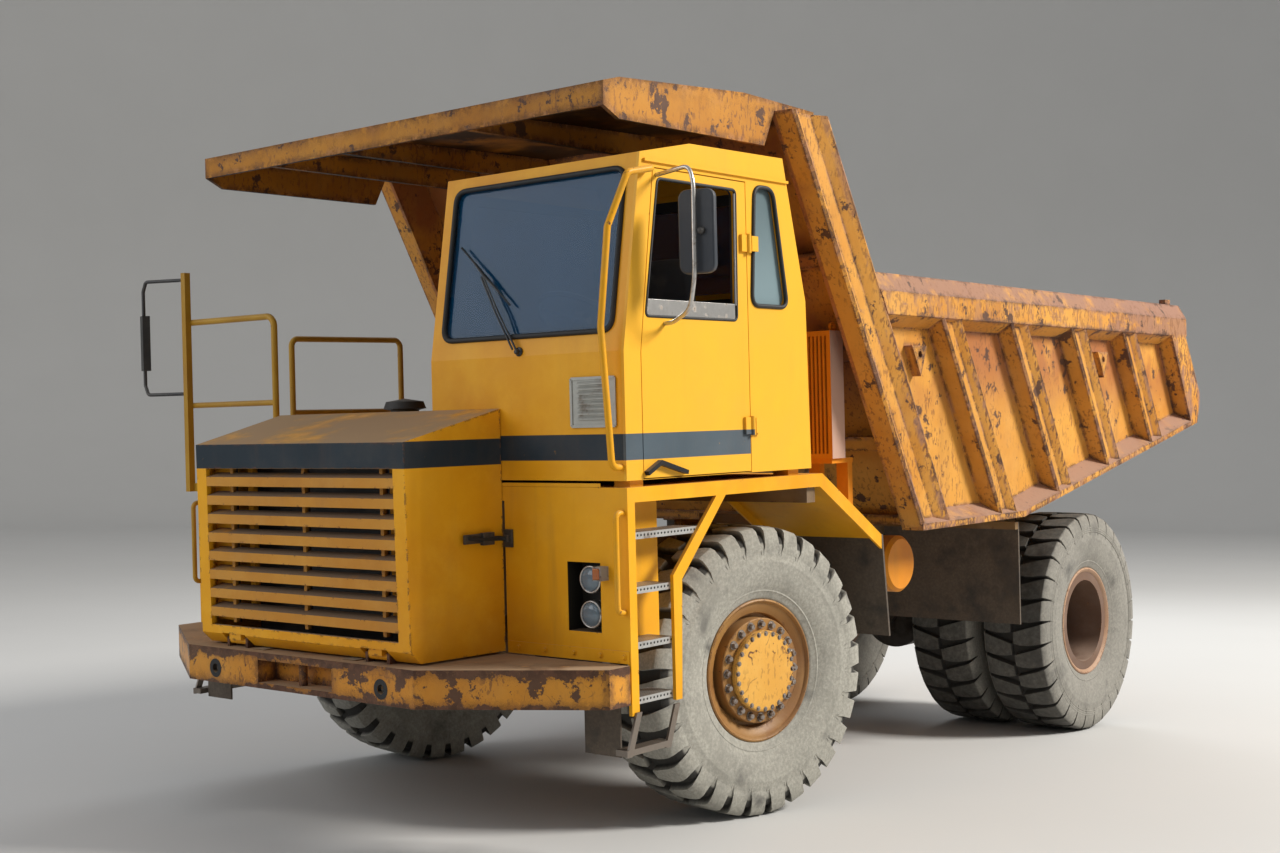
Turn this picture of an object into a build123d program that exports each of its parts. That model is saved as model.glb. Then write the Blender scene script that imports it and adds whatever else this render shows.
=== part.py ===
"""Rigid two-axle quarry dump truck with a half-width cab, a tilting nose and a steel tipping body.

Millimetres. The truck is modelled on a level frame: y is 0 at the front axle and grows to the rear, x grows to
the driver's side, and z is 0 on the ground under the rear wheels. Each finished piece is then set down by STANCE,
which lets the front axle drop to the same ground and puts the origin under the middle of the whole truck.
"""
import os
from math import asin, atan2, cos, degrees, hypot, radians, sin, tan

from build123d import *

os.makedirs("parts", exist_ok=True)

# Wheels and axles
TYRE_R = 800
TYRE_W = 496
TREAD_W = 450
LUG_COUNT = 30
LUG_W = 98
LUG_H = 46
RIM_FLANGE_R = 381
RIM_SEAT_R = 322
RIM_W = 372
FLANGE_T = 24
FLANGE_TIP_T = 12
WHEELBASE = 4000
NOSE_DROP_DEG = 2.5
REAR_AXLE_Z = TYRE_R
FRONT_WHEEL_X = 1324
REAR_OUTER_X = 1360
TWIN_SPACING = 590
REAR_INNER_X = REAR_OUTER_X - TWIN_SPACING
KINGPIN_X = 1060
STEER_REST_DEG = 10
PIN_CLEAR = 0.3
SEAT_GAP = 0.3
SPINDLE_R = 70
REAR_SPINDLE_R = 120
FRONT_AXLE_Z = REAR_AXLE_Z + WHEELBASE * tan(radians(NOSE_DROP_DEG))

# Frame
RAIL_IN_X = 320
RAIL_W = 100
RAIL_OUT_X = RAIL_IN_X + RAIL_W
RAIL_TOP_Z = 1600
RAIL_H = 320
RAIL_BOTTOM_Z = RAIL_TOP_Z - RAIL_H
FRAME_FRONT_Y = -2030
FRAME_REAR_Y = WHEELBASE + 850
FRONT_RAIL_TOP_Z = 1200
FRONT_RAIL_BOTTOM_Z = 1030
AXLE_ARCH_Z = 1190

# Front end
BUMPER_FRONT_Y = -2088
BUMPER_TOP_Z = 1195
BUMPER_H = 190
BUMPER_MID_X = 911
BUMPER_CORNER_Y = -1591
BUMPER_END_Y = -1440
BUMPER_PLATE_T = 25
TOW_RECESS_W = 600
TOW_RECESS_D = 150
TOW_PIN_R = 22
FACE_Y = -1429
BODY_HALF_W = 1731
NOSE_FRONT_X = 845
NOSE_REAR_X = 893
NOSE_TOP_FRONT = (-2057, 2295)
NOSE_LIP_FRONT = (-2041, 1265)
NOSE_LIP_REAR = (-1979, 1207)
NOSE_TOP_REAR_Z = 2450
NOSE_REAR_Y = -1434
NOSE_WALL = 30
GRILLE_HALF_W = 760
GRILLE_TOP_Z = 2165
SLAT_COUNT = 8
SLAT_PITCH = 101.5
SLAT_FIRST_Z = 2069
SLAT_FACE_H = 50
SLAT_DEPTH = 75
NOSE_HINGE = (-1995, 1228)
STRIPE_H = 130

# Decks, fenders and ladders
DECK_TOP_Z = 2050
DECK_EDGE_H = 73
DECK_PLATE_T = 15
DECK_REAR_Y = 265
SLOPE_END = (875, 1664)
CAB_IN_X = 386
TOWER_IN_X = 905
TOWER_OUT_X = BODY_HALF_W - 171
TOWER_REAR_Y = -1000
TOWER_BOTTOM_Z = 1230
TOWER_WALL = 25
LADDER_REAR_Y = -1055
LADDER_BOTTOM_Z = 950
LADDER_RAIL_T = 20
STEP_ZS = (1830, 1565, 1297, 1030)
STEP_T = 34
LAMP_X = TOWER_OUT_X - 90
LAMP_ZS = (1597, 1425)
LAMP_R = 62
RECESS_X = (TOWER_OUT_X - 230, TOWER_OUT_X - 12)
RECESS_Z = (1340, 1682)
RECESS_D = 110

# Cab
CAB_WALL = 45
CAB_FLOOR_Z = 2083
CREASE_Z = 2712
CAB_TOP_FRONT = (-1272, 3684)
GUTTER_Z = 3640
ROOF_PEAK = (-877, 3765)
ROOF_REAR = (-56, 3776)
CAB_GUTTER_REAR = (-23, GUTTER_Z)
CAB_REAR_KNEE = (135, 3006)
CAB_REAR_Y = 156
DOOR_FRONT_Y = -1297
DOOR_REAR_Y = -410
DOOR_TOP_Z = 3612
DOOR_GAP = 6
DOOR_T = 40
SILL_Z = 2882
GLASS_T = 8

# Dump body
BED_HALF_W = 1727
BED_PIVOT = (WHEELBASE + 650, 1565)
BED_WALL_X = 1580
BED_PLATE_T = 20
LEDGE_FRONT = (1368, 1653)
LEDGE_KNEE = (2716, 1654)
LEDGE_REAR = (5827, 2233)
LEDGE_LIP_H = 40
LEDGE_INNER_H = 112
BED_RAIL_FRONT_Z = 3222
BED_RAIL_REAR = (5640, 3188)
BED_TAIL = ((5886, 2398), (5891, 2480), (5609, 2951))
TAIL_POST_FRONT = ((5336, 2935), (5692, 2247))
CANOPY_OVER_ROOF = 290
POST_TOP_Z = ROOF_REAR[1] + CANOPY_OVER_ROOF
POST_FRONT_TOP_Y = 60
POST_REAR_TOP_Y = 439
POST_LEAN = 0.5446
CANOPY_HALF_W = 1614
CANOPY_FRONT_Y = -1397
CANOPY_TOP_Z = POST_TOP_Z - 34
CANOPY_RIDGE = (-231, POST_TOP_Z + 62)
CANOPY_LIP_H = 120
CANOPY_LIP_Z = CANOPY_TOP_Z - CANOPY_LIP_H
CANOPY_SKIRT_Z = CANOPY_LIP_Z - 55
RIB_TOP_Z = 2955
RIB_TOP_YS = (1649, 2571, 3489, 4375)
RIB_LEAN_DEG = 29.1

# Body hoist
HOIST_X = 200
HOIST_FOOT = (2800, 1130)
HOIST_HEAD = (3755, 1712)
BARREL_R = 85
ROD_R = 52
EYE_R = 58
EYE_W = 110

# The lower front axle and the middle of the truck give the final stance.
RAKE_DEG = degrees(asin((FRONT_AXLE_Z - REAR_AXLE_Z) / hypot(WHEELBASE, FRONT_AXLE_Z - REAR_AXLE_Z)))
ROW_REAR_AXLE_Y = 2150
STANCE = (Location((0, ROW_REAR_AXLE_Y, TYRE_R)) * Location((0, 0, 0), (RAKE_DEG, 0, 0))
          * Location((0, -WHEELBASE, -REAR_AXLE_Z)))
SIDES = (("left", 1), ("right", -1))


def block(x_span, y_span, z_span, mode=Mode.ADD):
    """A block between two corners, given as three spans."""
    middle = tuple((a + b) / 2 for a, b in (x_span, y_span, z_span))
    lengths = [abs(b - a) for a, b in (x_span, y_span, z_span)]
    with Locations(middle):
        Box(*lengths, mode=mode)


def side_form(points, x_span, mode=Mode.ADD):
    """A form whose outline is drawn in side view, as (y, z) points, and which runs across x_span."""
    with BuildSketch(Plane.YZ.offset(x_span[0])) as outline:
        with BuildLine():
            Polyline(*points, close=True)
        make_face()
    extrude(outline.sketch, amount=x_span[1] - x_span[0], mode=mode)


def plan_form(points, z_span, mode=Mode.ADD):
    """A form whose outline is drawn from above, as (x, y) points."""
    with BuildSketch(Plane.XY.offset(z_span[0])) as outline:
        with BuildLine():
            Polyline(*points, close=True)
        make_face()
    extrude(outline.sketch, amount=z_span[1] - z_span[0], mode=mode)


def bar_x(y, z, radius, x_span, mode=Mode.ADD):
    """A round bar across the truck."""
    with BuildSketch(Plane.YZ.offset(x_span[0])) as section:
        with Locations((y, z)):
            Circle(radius)
    extrude(section.sketch, amount=x_span[1] - x_span[0], mode=mode)


def tube_path(points, bend_r, radius):
    """A round tube along a path, with its corners bent to a radius."""
    with BuildLine() as path:
        if bend_r:
            FilletPolyline(*points, radius=bend_r)
        else:
            Polyline(*points)
    start = Vector(*points[0])
    with BuildSketch(Plane(origin=start, z_dir=Vector(*points[1]) - start)) as section:
        Circle(radius)
    sweep(section.sketch, path=path.line)


def write(piece, name):
    """Label a finished piece, set it down on the ground and write it."""
    piece.part.label = name
    standing = piece.part.moved(STANCE)
    standing.label = name
    export_step(standing, f"parts/{name}.step")


# Frame: two box rails that step down over the front axle, cross members and body pivot brackets
DECK_POST_FOOT_Z = 1470
RAIL_OUTLINE = [
    (FRAME_FRONT_Y, FRONT_RAIL_BOTTOM_Z), (-950, FRONT_RAIL_BOTTOM_Z), (-750, AXLE_ARCH_Z), (700, AXLE_ARCH_Z),
    (1000, RAIL_BOTTOM_Z), (FRAME_REAR_Y, RAIL_BOTTOM_Z), (FRAME_REAR_Y, RAIL_TOP_Z), (1000, RAIL_TOP_Z),
    (600, DECK_POST_FOOT_Z), (-650, DECK_POST_FOOT_Z), (-950, FRONT_RAIL_TOP_Z), (FRAME_FRONT_Y, FRONT_RAIL_TOP_Z),
]
CROSS_TUBES = ((-1330, 1115, 75), (1480, 1440, 80), (2560, 1440, 90), (FRAME_REAR_Y - 70, 1400, 90))
REAR_FLAP_Y = WHEELBASE - TYRE_R - 256
REAR_FLAP_X = (489, REAR_OUTER_X + 200)
DECK_POST_Y = (150, 230)
PIVOT_PIN_R = 45

with BuildPart() as frame:
    for _, side in SIDES:
        side_form(RAIL_OUTLINE, (side * RAIL_IN_X, side * RAIL_OUT_X))
        with Locations((side * (RAIL_IN_X + RAIL_OUT_X) / 2, BED_PIVOT[0], RAIL_TOP_Z - 20)):
            Box(RAIL_W, 220, 60)
        bar_x(*BED_PIVOT, PIVOT_PIN_R, (side * RAIL_IN_X, side * (RAIL_OUT_X + 110)))

# Between and outside the rails: cross tubes, the hoist's foot bracket, deck posts and carriers
with BuildPart() as cross_members:
    for y, z, radius in CROSS_TUBES:
        bar_x(y, z, radius, (-RAIL_IN_X + SEAT_GAP, RAIL_IN_X - SEAT_GAP))
    for _, side in SIDES:
        beside_rail = side * (RAIL_OUT_X + SEAT_GAP)
        block((side * RAIL_IN_X, side * RAIL_OUT_X), DECK_POST_Y,
              (DECK_POST_FOOT_Z + SEAT_GAP, DECK_TOP_Z - DECK_EDGE_H))
        block((side * RAIL_IN_X, side * (BODY_HALF_W - 31)), DECK_POST_Y, (1890, DECK_TOP_Z - DECK_EDGE_H))
        block((beside_rail, side * TOWER_IN_X), (-1330, -1230), (1150, 1290))
        block((side * RAIL_IN_X, side * 1440), (950, 1150), (1700, 1760))
        block((side * RAIL_IN_X, side * RAIL_OUT_X), (1000, 1150), (RAIL_TOP_Z + SEAT_GAP, 1760))
        block((beside_rail, side * REAR_FLAP_X[1]), (REAR_FLAP_Y - 44, REAR_FLAP_Y), (1550, 1600))
        for offset in (-1, 1):
            ear_x = side * HOIST_X + offset * (EYE_W / 2 + 15)
            side_form([(HOIST_FOOT[0] - 330, 1440), (HOIST_FOOT[0] - 330, 1340), (HOIST_FOOT[0] - 60, 1070),
                       (HOIST_FOOT[0] + 50, 1070), (HOIST_FOOT[0] + 50, 1160), (HOIST_FOOT[0] - 180, 1440)],
                      (ear_x - 10, ear_x + 10))
        bar_x(*HOIST_FOOT, 30, (side * HOIST_X - EYE_W / 2 - 20, side * HOIST_X + EYE_W / 2 + 20))

# Bumper: a folded plate beam with swept-back ends, a tow recess with its pin, and two round holes
BUMPER_PLAN = [
    (-BODY_HALF_W, BUMPER_END_Y), (-BODY_HALF_W, BUMPER_CORNER_Y), (-BUMPER_MID_X, BUMPER_FRONT_Y),
    (BUMPER_MID_X, BUMPER_FRONT_Y), (BODY_HALF_W, BUMPER_CORNER_Y), (BODY_HALF_W, BUMPER_END_Y),
]
BUMPER_INNER = [
    (-BODY_HALF_W + BUMPER_PLATE_T, BUMPER_END_Y + 1), (-BODY_HALF_W + BUMPER_PLATE_T, BUMPER_CORNER_Y + 14),
    (-BUMPER_MID_X + 7, BUMPER_FRONT_Y + BUMPER_PLATE_T), (BUMPER_MID_X - 7, BUMPER_FRONT_Y + BUMPER_PLATE_T),
    (BODY_HALF_W - BUMPER_PLATE_T, BUMPER_CORNER_Y + 14), (BODY_HALF_W - BUMPER_PLATE_T, BUMPER_END_Y + 1),
]
BUMPER_BOTTOM_Z = BUMPER_TOP_Z - BUMPER_H
BUMPER_HOLE_X = 672
BUMPER_HOLE_R = 24
TOW_PIN_Y = BUMPER_FRONT_Y + 62

with BuildPart() as bumper:
    plan_form(BUMPER_PLAN, (BUMPER_BOTTOM_Z, BUMPER_TOP_Z))
    plan_form(BUMPER_INNER, (BUMPER_BOTTOM_Z - 1, BUMPER_TOP_Z - BUMPER_PLATE_T), mode=Mode.SUBTRACT)
    block((-BUMPER_MID_X, BUMPER_MID_X), (BUMPER_FRONT_Y + 5, BUMPER_FRONT_Y + 56),
          (BUMPER_BOTTOM_Z, BUMPER_BOTTOM_Z + BUMPER_PLATE_T))
    block((-TOW_RECESS_W / 2 - 20, TOW_RECESS_W / 2 + 20), (BUMPER_FRONT_Y + 5, FRAME_FRONT_Y + 90),
          (BUMPER_BOTTOM_Z, BUMPER_TOP_Z - 10))
    block((-RAIL_IN_X + 5, RAIL_IN_X - 5), (FRAME_FRONT_Y + 60, FRAME_FRONT_Y + 92),
          (BUMPER_BOTTOM_Z, BUMPER_TOP_Z))
    block((-TOW_RECESS_W / 2, TOW_RECESS_W / 2), (BUMPER_FRONT_Y - 1, FRAME_FRONT_Y + 60),
          (BUMPER_BOTTOM_Z + 30, BUMPER_TOP_Z - 40), mode=Mode.SUBTRACT)
    for _, side in SIDES:
        block((side * RAIL_IN_X, side * RAIL_OUT_X), (FRAME_FRONT_Y, BUMPER_END_Y + 1),
              (FRONT_RAIL_BOTTOM_Z, BUMPER_TOP_Z + 1), mode=Mode.SUBTRACT)
        for x_span in ((480, 499.5), (640.5, 660)):
            block((side * x_span[0], side * x_span[1]), (NOSE_HINGE[0] - 20, NOSE_HINGE[0] + 25),
                  (BUMPER_TOP_Z - 1, NOSE_HINGE[1] + 18))
        with BuildSketch(Plane.XZ.offset(-BUMPER_FRONT_Y + 1)):
            with Locations((side * BUMPER_HOLE_X, 1083)):
                Circle(BUMPER_HOLE_R)
        extrude(amount=-BUMPER_PLATE_T - 2, mode=Mode.SUBTRACT)
    with Locations((0, TOW_PIN_Y, (BUMPER_BOTTOM_Z + BUMPER_TOP_Z) / 2)):
        Cylinder(TOW_PIN_R, BUMPER_H - 20)

# Nose: a hollow hood with a sloping top, flared sides and an open grille
NOSE_SIDE = [(NOSE_REAR_Y, NOSE_LIP_REAR[1]), NOSE_LIP_REAR, NOSE_LIP_FRONT, NOSE_TOP_FRONT,
             (NOSE_REAR_Y, NOSE_TOP_REAR_Z)]
NOSE_CAVITY = [(NOSE_REAR_Y + 1, NOSE_LIP_REAR[1] - 1), (NOSE_LIP_REAR[0] + NOSE_WALL, NOSE_LIP_REAR[1] - 1),
               (NOSE_LIP_FRONT[0] + NOSE_WALL, NOSE_LIP_FRONT[1] + 14),
               (NOSE_TOP_FRONT[0] + NOSE_WALL, NOSE_TOP_FRONT[1] - NOSE_WALL),
               (NOSE_REAR_Y + 1, NOSE_TOP_REAR_Z - NOSE_WALL)]


def nose_plan(wall):
    """The hood seen from above, drawn in by the wall."""
    front = NOSE_TOP_FRONT[0] - 1 + wall
    return [(-NOSE_REAR_X + wall, NOSE_REAR_Y + 1), (-NOSE_FRONT_X + wall, front),
            (NOSE_FRONT_X - wall, front), (NOSE_REAR_X - wall, NOSE_REAR_Y + 1)]


with BuildPart() as nose_cavity:
    side_form(NOSE_CAVITY, (-NOSE_REAR_X, NOSE_REAR_X))
    plan_form(nose_plan(NOSE_WALL), (1100, 2600), mode=Mode.INTERSECT)

with BuildPart() as nose:
    side_form(NOSE_SIDE, (-NOSE_REAR_X, NOSE_REAR_X))
    plan_form(nose_plan(0), (1100, 2600), mode=Mode.INTERSECT)
    add(nose_cavity.part, mode=Mode.SUBTRACT)
    block((-GRILLE_HALF_W, GRILLE_HALF_W), (NOSE_TOP_FRONT[0] - 5, NOSE_TOP_FRONT[0] + 60),
          (NOSE_LIP_FRONT[1] + 45, GRILLE_TOP_Z), mode=Mode.SUBTRACT)
    for _, side in SIDES:
        block((side * 470, side * 670), (NOSE_LIP_FRONT[0] - 5, NOSE_LIP_REAR[0] + 50),
              (NOSE_LIP_REAR[1] - 5, NOSE_LIP_FRONT[1] + 4), mode=Mode.SUBTRACT)
        bar_x(*NOSE_HINGE, 18, (side * 500, side * 640))
        block((side * 520, side * 620), (NOSE_HINGE[0] - 35, NOSE_HINGE[0] + 5),
              (NOSE_HINGE[1] + 8, NOSE_LIP_FRONT[1] + 25))

with BuildPart() as grille:
    for row in range(SLAT_COUNT):
        z = SLAT_FIRST_Z - row * SLAT_PITCH
        lean = (NOSE_LIP_FRONT[0] - NOSE_TOP_FRONT[0]) * (NOSE_TOP_FRONT[1] - z) / (
            NOSE_TOP_FRONT[1] - NOSE_LIP_FRONT[1])
        face_y = NOSE_TOP_FRONT[0] + lean
        side_form([(face_y, z), (face_y, z + SLAT_FACE_H), (face_y + SLAT_DEPTH, z + SLAT_FACE_H + 22),
                   (face_y + SLAT_DEPTH, z + SLAT_FACE_H + 10), (face_y + 12, z + SLAT_FACE_H - 12),
                   (face_y + 12, z)], (-GRILLE_HALF_W, GRILLE_HALF_W))
    for x in (-GRILLE_HALF_W + 150, 0, GRILLE_HALF_W - 150):
        block((x - 12, x + 12), (NOSE_TOP_FRONT[0] + 60, NOSE_TOP_FRONT[0] + 95),
              (NOSE_LIP_FRONT[1] + 60, GRILLE_TOP_Z + 20))

# Behind the nose: radiator, engine and the cover over it
RADIATOR_Y = (-1800, -1690)
ENGINE_HALF_W = 300
COVER_X = (-NOSE_REAR_X, CAB_IN_X - 8)
COVER_Y = (-1424, 200)
COVER_BOTTOM_Z = DECK_TOP_Z - DECK_EDGE_H

with BuildPart() as radiator:
    block((-640, 640), RADIATOR_Y, (FRONT_RAIL_TOP_Z + 60, 2210))
    block((-690, 690), (RADIATOR_Y[0] - 10, RADIATOR_Y[1] + 10), (2160, 2260))
    block((-690, 690), (RADIATOR_Y[0] - 10, RADIATOR_Y[1] + 10), (FRONT_RAIL_TOP_Z, FRONT_RAIL_TOP_Z + 70))

with BuildPart() as engine:
    block((-ENGINE_HALF_W, ENGINE_HALF_W), (-1450, 150), (1340, 2150))
    with Locations(Location((0, -1560, 1780), (90, 0, 0))):
        Cylinder(430, 60)
    with Locations(Location((0, -1500, 1780), (90, 0, 0))):
        Cylinder(60, 140)
    for _, side in SIDES:
        for y in (-1120, 0):
            block((side * (ENGINE_HALF_W - 20), side * RAIL_OUT_X), (y - 50, y + 50), (1470, 1500))
        block((side * (RAIL_IN_X + 10), side * (RAIL_OUT_X - 10)), (-1170, -1070), (FRONT_RAIL_TOP_Z, 1480))

with BuildPart() as engine_cover:
    block(COVER_X, COVER_Y, (COVER_BOTTOM_Z, NOSE_TOP_REAR_Z - 6))
    block((COVER_X[0] + NOSE_WALL, COVER_X[1] - NOSE_WALL), (COVER_Y[0] - 1, COVER_Y[1] - NOSE_WALL),
          (COVER_BOTTOM_Z - 1, NOSE_TOP_REAR_Z - 6 - NOSE_WALL), mode=Mode.SUBTRACT)

with BuildPart() as driveline:
    block((-210, 210), (350, 1350), (1060, 1460))
    block((-RAIL_IN_X, RAIL_IN_X), (900, 980), (1390, 1440))
    with Locations(Location((0, 250, 1480), (90, 0, 0))):
        Cylinder(180, 200)
    shaft_from = Vector(0, 1350, 1150)
    shaft_to = Vector(0, WHEELBASE - 352, REAR_AXLE_Z + 30)
    with BuildSketch(Plane(origin=shaft_from, z_dir=shaft_to - shaft_from)):
        Circle(62)
    extrude(amount=(shaft_to - shaft_from).length)
    for t in (0.03, 0.93):
        joint_plane = Plane(origin=shaft_from + (shaft_to - shaft_from) * t, z_dir=shaft_to - shaft_from)
        with BuildSketch(joint_plane):
            Circle(95)
        extrude(amount=90)

# Decks over the front wheels, with lamp towers, side ladders and rear slopes
SLOPE_T = 70


def fender(side, deck_in_x):
    """One front fender: deck, lamp tower, ladder sides and rear slope, in place on its side of the truck."""
    out_x = side * BODY_HALF_W
    edge_in = DECK_PLATE_T
    block((side * deck_in_x, out_x), (FACE_Y, DECK_REAR_Y), (DECK_TOP_Z - DECK_EDGE_H, DECK_TOP_Z))
    block((side * (deck_in_x + edge_in), side * (BODY_HALF_W - edge_in)),
          (FACE_Y + edge_in, DECK_REAR_Y - edge_in), (DECK_TOP_Z - DECK_EDGE_H - 1, DECK_TOP_Z - DECK_PLATE_T), mode=Mode.SUBTRACT)
    side_form([(DECK_REAR_Y, DECK_TOP_Z), SLOPE_END, (SLOPE_END[0], SLOPE_END[1] - 84), (238, DECK_TOP_Z - 73)],
              (side * 950, out_x))
    side_form([(DECK_REAR_Y - 20, DECK_TOP_Z - 27), (SLOPE_END[0] + 1, SLOPE_END[1] - 26),
               (SLOPE_END[0] + 1, SLOPE_END[1] - 90), (236, DECK_TOP_Z - 76)],
              (side * (950 + edge_in), side * (BODY_HALF_W - edge_in)), mode=Mode.SUBTRACT)
    block((side * TOWER_IN_X, side * TOWER_OUT_X), (FACE_Y, TOWER_REAR_Y),
          (TOWER_BOTTOM_Z, DECK_TOP_Z - DECK_EDGE_H))
    block((side * (TOWER_IN_X + TOWER_WALL), side * (TOWER_OUT_X - TOWER_WALL)),
          (FACE_Y + TOWER_WALL, TOWER_REAR_Y - TOWER_WALL), (TOWER_BOTTOM_Z - 1, DECK_TOP_Z - DECK_EDGE_H - 20),
          mode=Mode.SUBTRACT)
    block((side * TOWER_OUT_X, out_x), (FACE_Y, FACE_Y + TOWER_WALL), (TOWER_BOTTOM_Z, DECK_TOP_Z - DECK_EDGE_H))
    block((side * (RECESS_X[0] - 12), side * (RECESS_X[1] + 12)), (FACE_Y + 5, FACE_Y + RECESS_D + 12),
          (RECESS_Z[0] - 12, RECESS_Z[1] + 12))
    block((side * RECESS_X[0], side * RECESS_X[1]), (FACE_Y - 1, FACE_Y + RECESS_D), RECESS_Z,
          mode=Mode.SUBTRACT)
    block((side * (BODY_HALF_W - LADDER_RAIL_T), out_x), (FACE_Y, FACE_Y + 55),
          (LADDER_BOTTOM_Z, DECK_TOP_Z - DECK_EDGE_H))
    side_form([(LADDER_REAR_Y - 35, LADDER_BOTTOM_Z + 30), (LADDER_REAR_Y + 15, LADDER_BOTTOM_Z + 30),
               (LADDER_REAR_Y + 35, 1575), (-640, DECK_TOP_Z - DECK_EDGE_H), (-720, DECK_TOP_Z - DECK_EDGE_H),
               (LADDER_REAR_Y - 35, 1600)],
              (side * (BODY_HALF_W - LADDER_RAIL_T), out_x))


with BuildPart() as fender_left:
    fender(1, CAB_IN_X - 6)

with BuildPart() as fender_right:
    fender(-1, NOSE_REAR_X + 1)

with BuildPart() as steps:
    for _, side in SIDES:
        for row, z in enumerate(STEP_ZS):
            rear = -850 if row == 0 else LADDER_REAR_Y - 35
            inner_x = TOWER_OUT_X if row < 3 else BODY_HALF_W - 170
            block((side * inner_x, side * (BODY_HALF_W - LADDER_RAIL_T)), (FACE_Y + TOWER_WALL, rear),
                  (z - STEP_T, z))
        for y in (FACE_Y + 20, LADDER_REAR_Y - 60):
            side_form([(y, 965), (y + 40, 965), (y - 40, 760), (y - 80, 760)],
                      (side * (BODY_HALF_W + SEAT_GAP), side * (BODY_HALF_W + 13)))
        block((side * (BODY_HALF_W - 60), side * (BODY_HALF_W + 13)), (FACE_Y - 60, LADDER_REAR_Y - 100),
              (765, 795))

with BuildPart() as lamps:
    for _, side in SIDES:
        for z in LAMP_ZS:
            with Locations(Location((side * LAMP_X, FACE_Y + RECESS_D - 45, z), (90, 0, 0))):
                Cylinder(LAMP_R, 90)
        block((side * RECESS_X[1], side * (TOWER_OUT_X + 40)), (FACE_Y - 60, FACE_Y), (1600, 1668))

# Cab: a hollow steel shell over the driver's side deck
CAB_OUT_X = BODY_HALF_W
CAB_SIDE = [(FACE_Y, CAB_FLOOR_Z), (FACE_Y, CREASE_Z), (-1279, GUTTER_Z), CAB_GUTTER_REAR, CAB_REAR_KNEE,
            (CAB_REAR_Y, CAB_FLOOR_Z)]
CAB_INSIDE = [(FACE_Y + CAB_WALL, CAB_FLOOR_Z + CAB_WALL), (FACE_Y + CAB_WALL, CREASE_Z),
              (-1279 + CAB_WALL, GUTTER_Z + 1), (CAB_GUTTER_REAR[0] - CAB_WALL, GUTTER_Z + 1),
              (CAB_REAR_KNEE[0] - CAB_WALL, CAB_REAR_KNEE[1]),
              (CAB_REAR_Y - CAB_WALL, CAB_FLOOR_Z + CAB_WALL)]
FRONT_LEAN_DEG = degrees(atan2(-1279 - FACE_Y, GUTTER_Z - CREASE_Z))
WINDSHIELD_X = (CAB_IN_X + 84, CAB_OUT_X - 83)
WINDSHIELD_Z = (2812, 3615)
DOOR_OUTLINE = [(DOOR_FRONT_Y, CAB_FLOOR_Z + 8), (DOOR_FRONT_Y, CREASE_Z), (-1172, DOOR_TOP_Z),
                (DOOR_REAR_Y, DOOR_TOP_Z), (DOOR_REAR_Y, CAB_FLOOR_Z + 8)]
DOOR_WINDOW = [(-1258, SILL_Z), (-1142, 3565), (-495, 3565), (-505, SILL_Z)]
QUARTER_WINDOW = [(-372, 2965), (-330, 3600), (-160, 3600), (-45, 2965)]
RIGHT_WINDOW = [(-1230, SILL_Z), (-1120, 3560), (-180, 3560), (-70, SILL_Z)]
HINGE_PIN_R = 14
DOOR_HINGE = (CAB_OUT_X + 16, DOOR_REAR_Y + 3)
DOOR_HINGE_ZS = (2330, 3290)
LEFT_WALL = (CAB_OUT_X - CAB_WALL - 1, CAB_OUT_X + 1)
RIGHT_WALL = (CAB_IN_X - 1, CAB_IN_X + CAB_WALL + 1)
REAR_WINDOW_X = (CAB_IN_X + 174, CAB_OUT_X - 171)
REAR_WINDOW_Z = (3080, 3560)
LEAN_PLANE = Plane(origin=(0, FACE_Y, CREASE_Z), x_dir=(1, 0, 0),
                   z_dir=(0, -(GUTTER_Z - CREASE_Z), -1279 - FACE_Y))


def lean_y(z):
    """Where the leaning upper front of the cab stands at a height."""
    return FACE_Y + max(0, z - CREASE_Z) * tan(radians(FRONT_LEAN_DEG))


def grown(points, gap):
    """A convex outline moved outward by about a gap, away from its middle."""
    mid_y = sum(y for y, _ in points) / len(points)
    mid_z = sum(z for _, z in points) / len(points)
    return [(y + (gap if y > mid_y else -gap), z + (gap if z > mid_z else -gap)) for y, z in points]


def window_hole(points, x_span, corner_r, mode=Mode.SUBTRACT):
    """A rounded window drawn in side view."""
    with BuildSketch(Plane.YZ.offset(x_span[0])) as pane:
        with BuildLine():
            Polyline(*points, close=True)
        make_face()
        fillet(pane.vertices(), corner_r)
    extrude(pane.sketch, amount=x_span[1] - x_span[0], mode=mode)


def lean_window(x_span, z_span, depth_span, corner_r, mode):
    """A rounded pane or opening on the leaning front of the cab. Depths count inward from the outer face."""
    low = (z_span[0] - CREASE_Z) / cos(radians(FRONT_LEAN_DEG))
    high = (z_span[1] - CREASE_Z) / cos(radians(FRONT_LEAN_DEG))
    with BuildSketch(LEAN_PLANE.offset(-depth_span[0])) as pane:
        with Locations(((x_span[0] + x_span[1]) / 2, (low + high) / 2)):
            RectangleRounded(x_span[1] - x_span[0], high - low, corner_r)
    extrude(pane.sketch, amount=depth_span[0] - depth_span[1], mode=mode)


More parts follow.
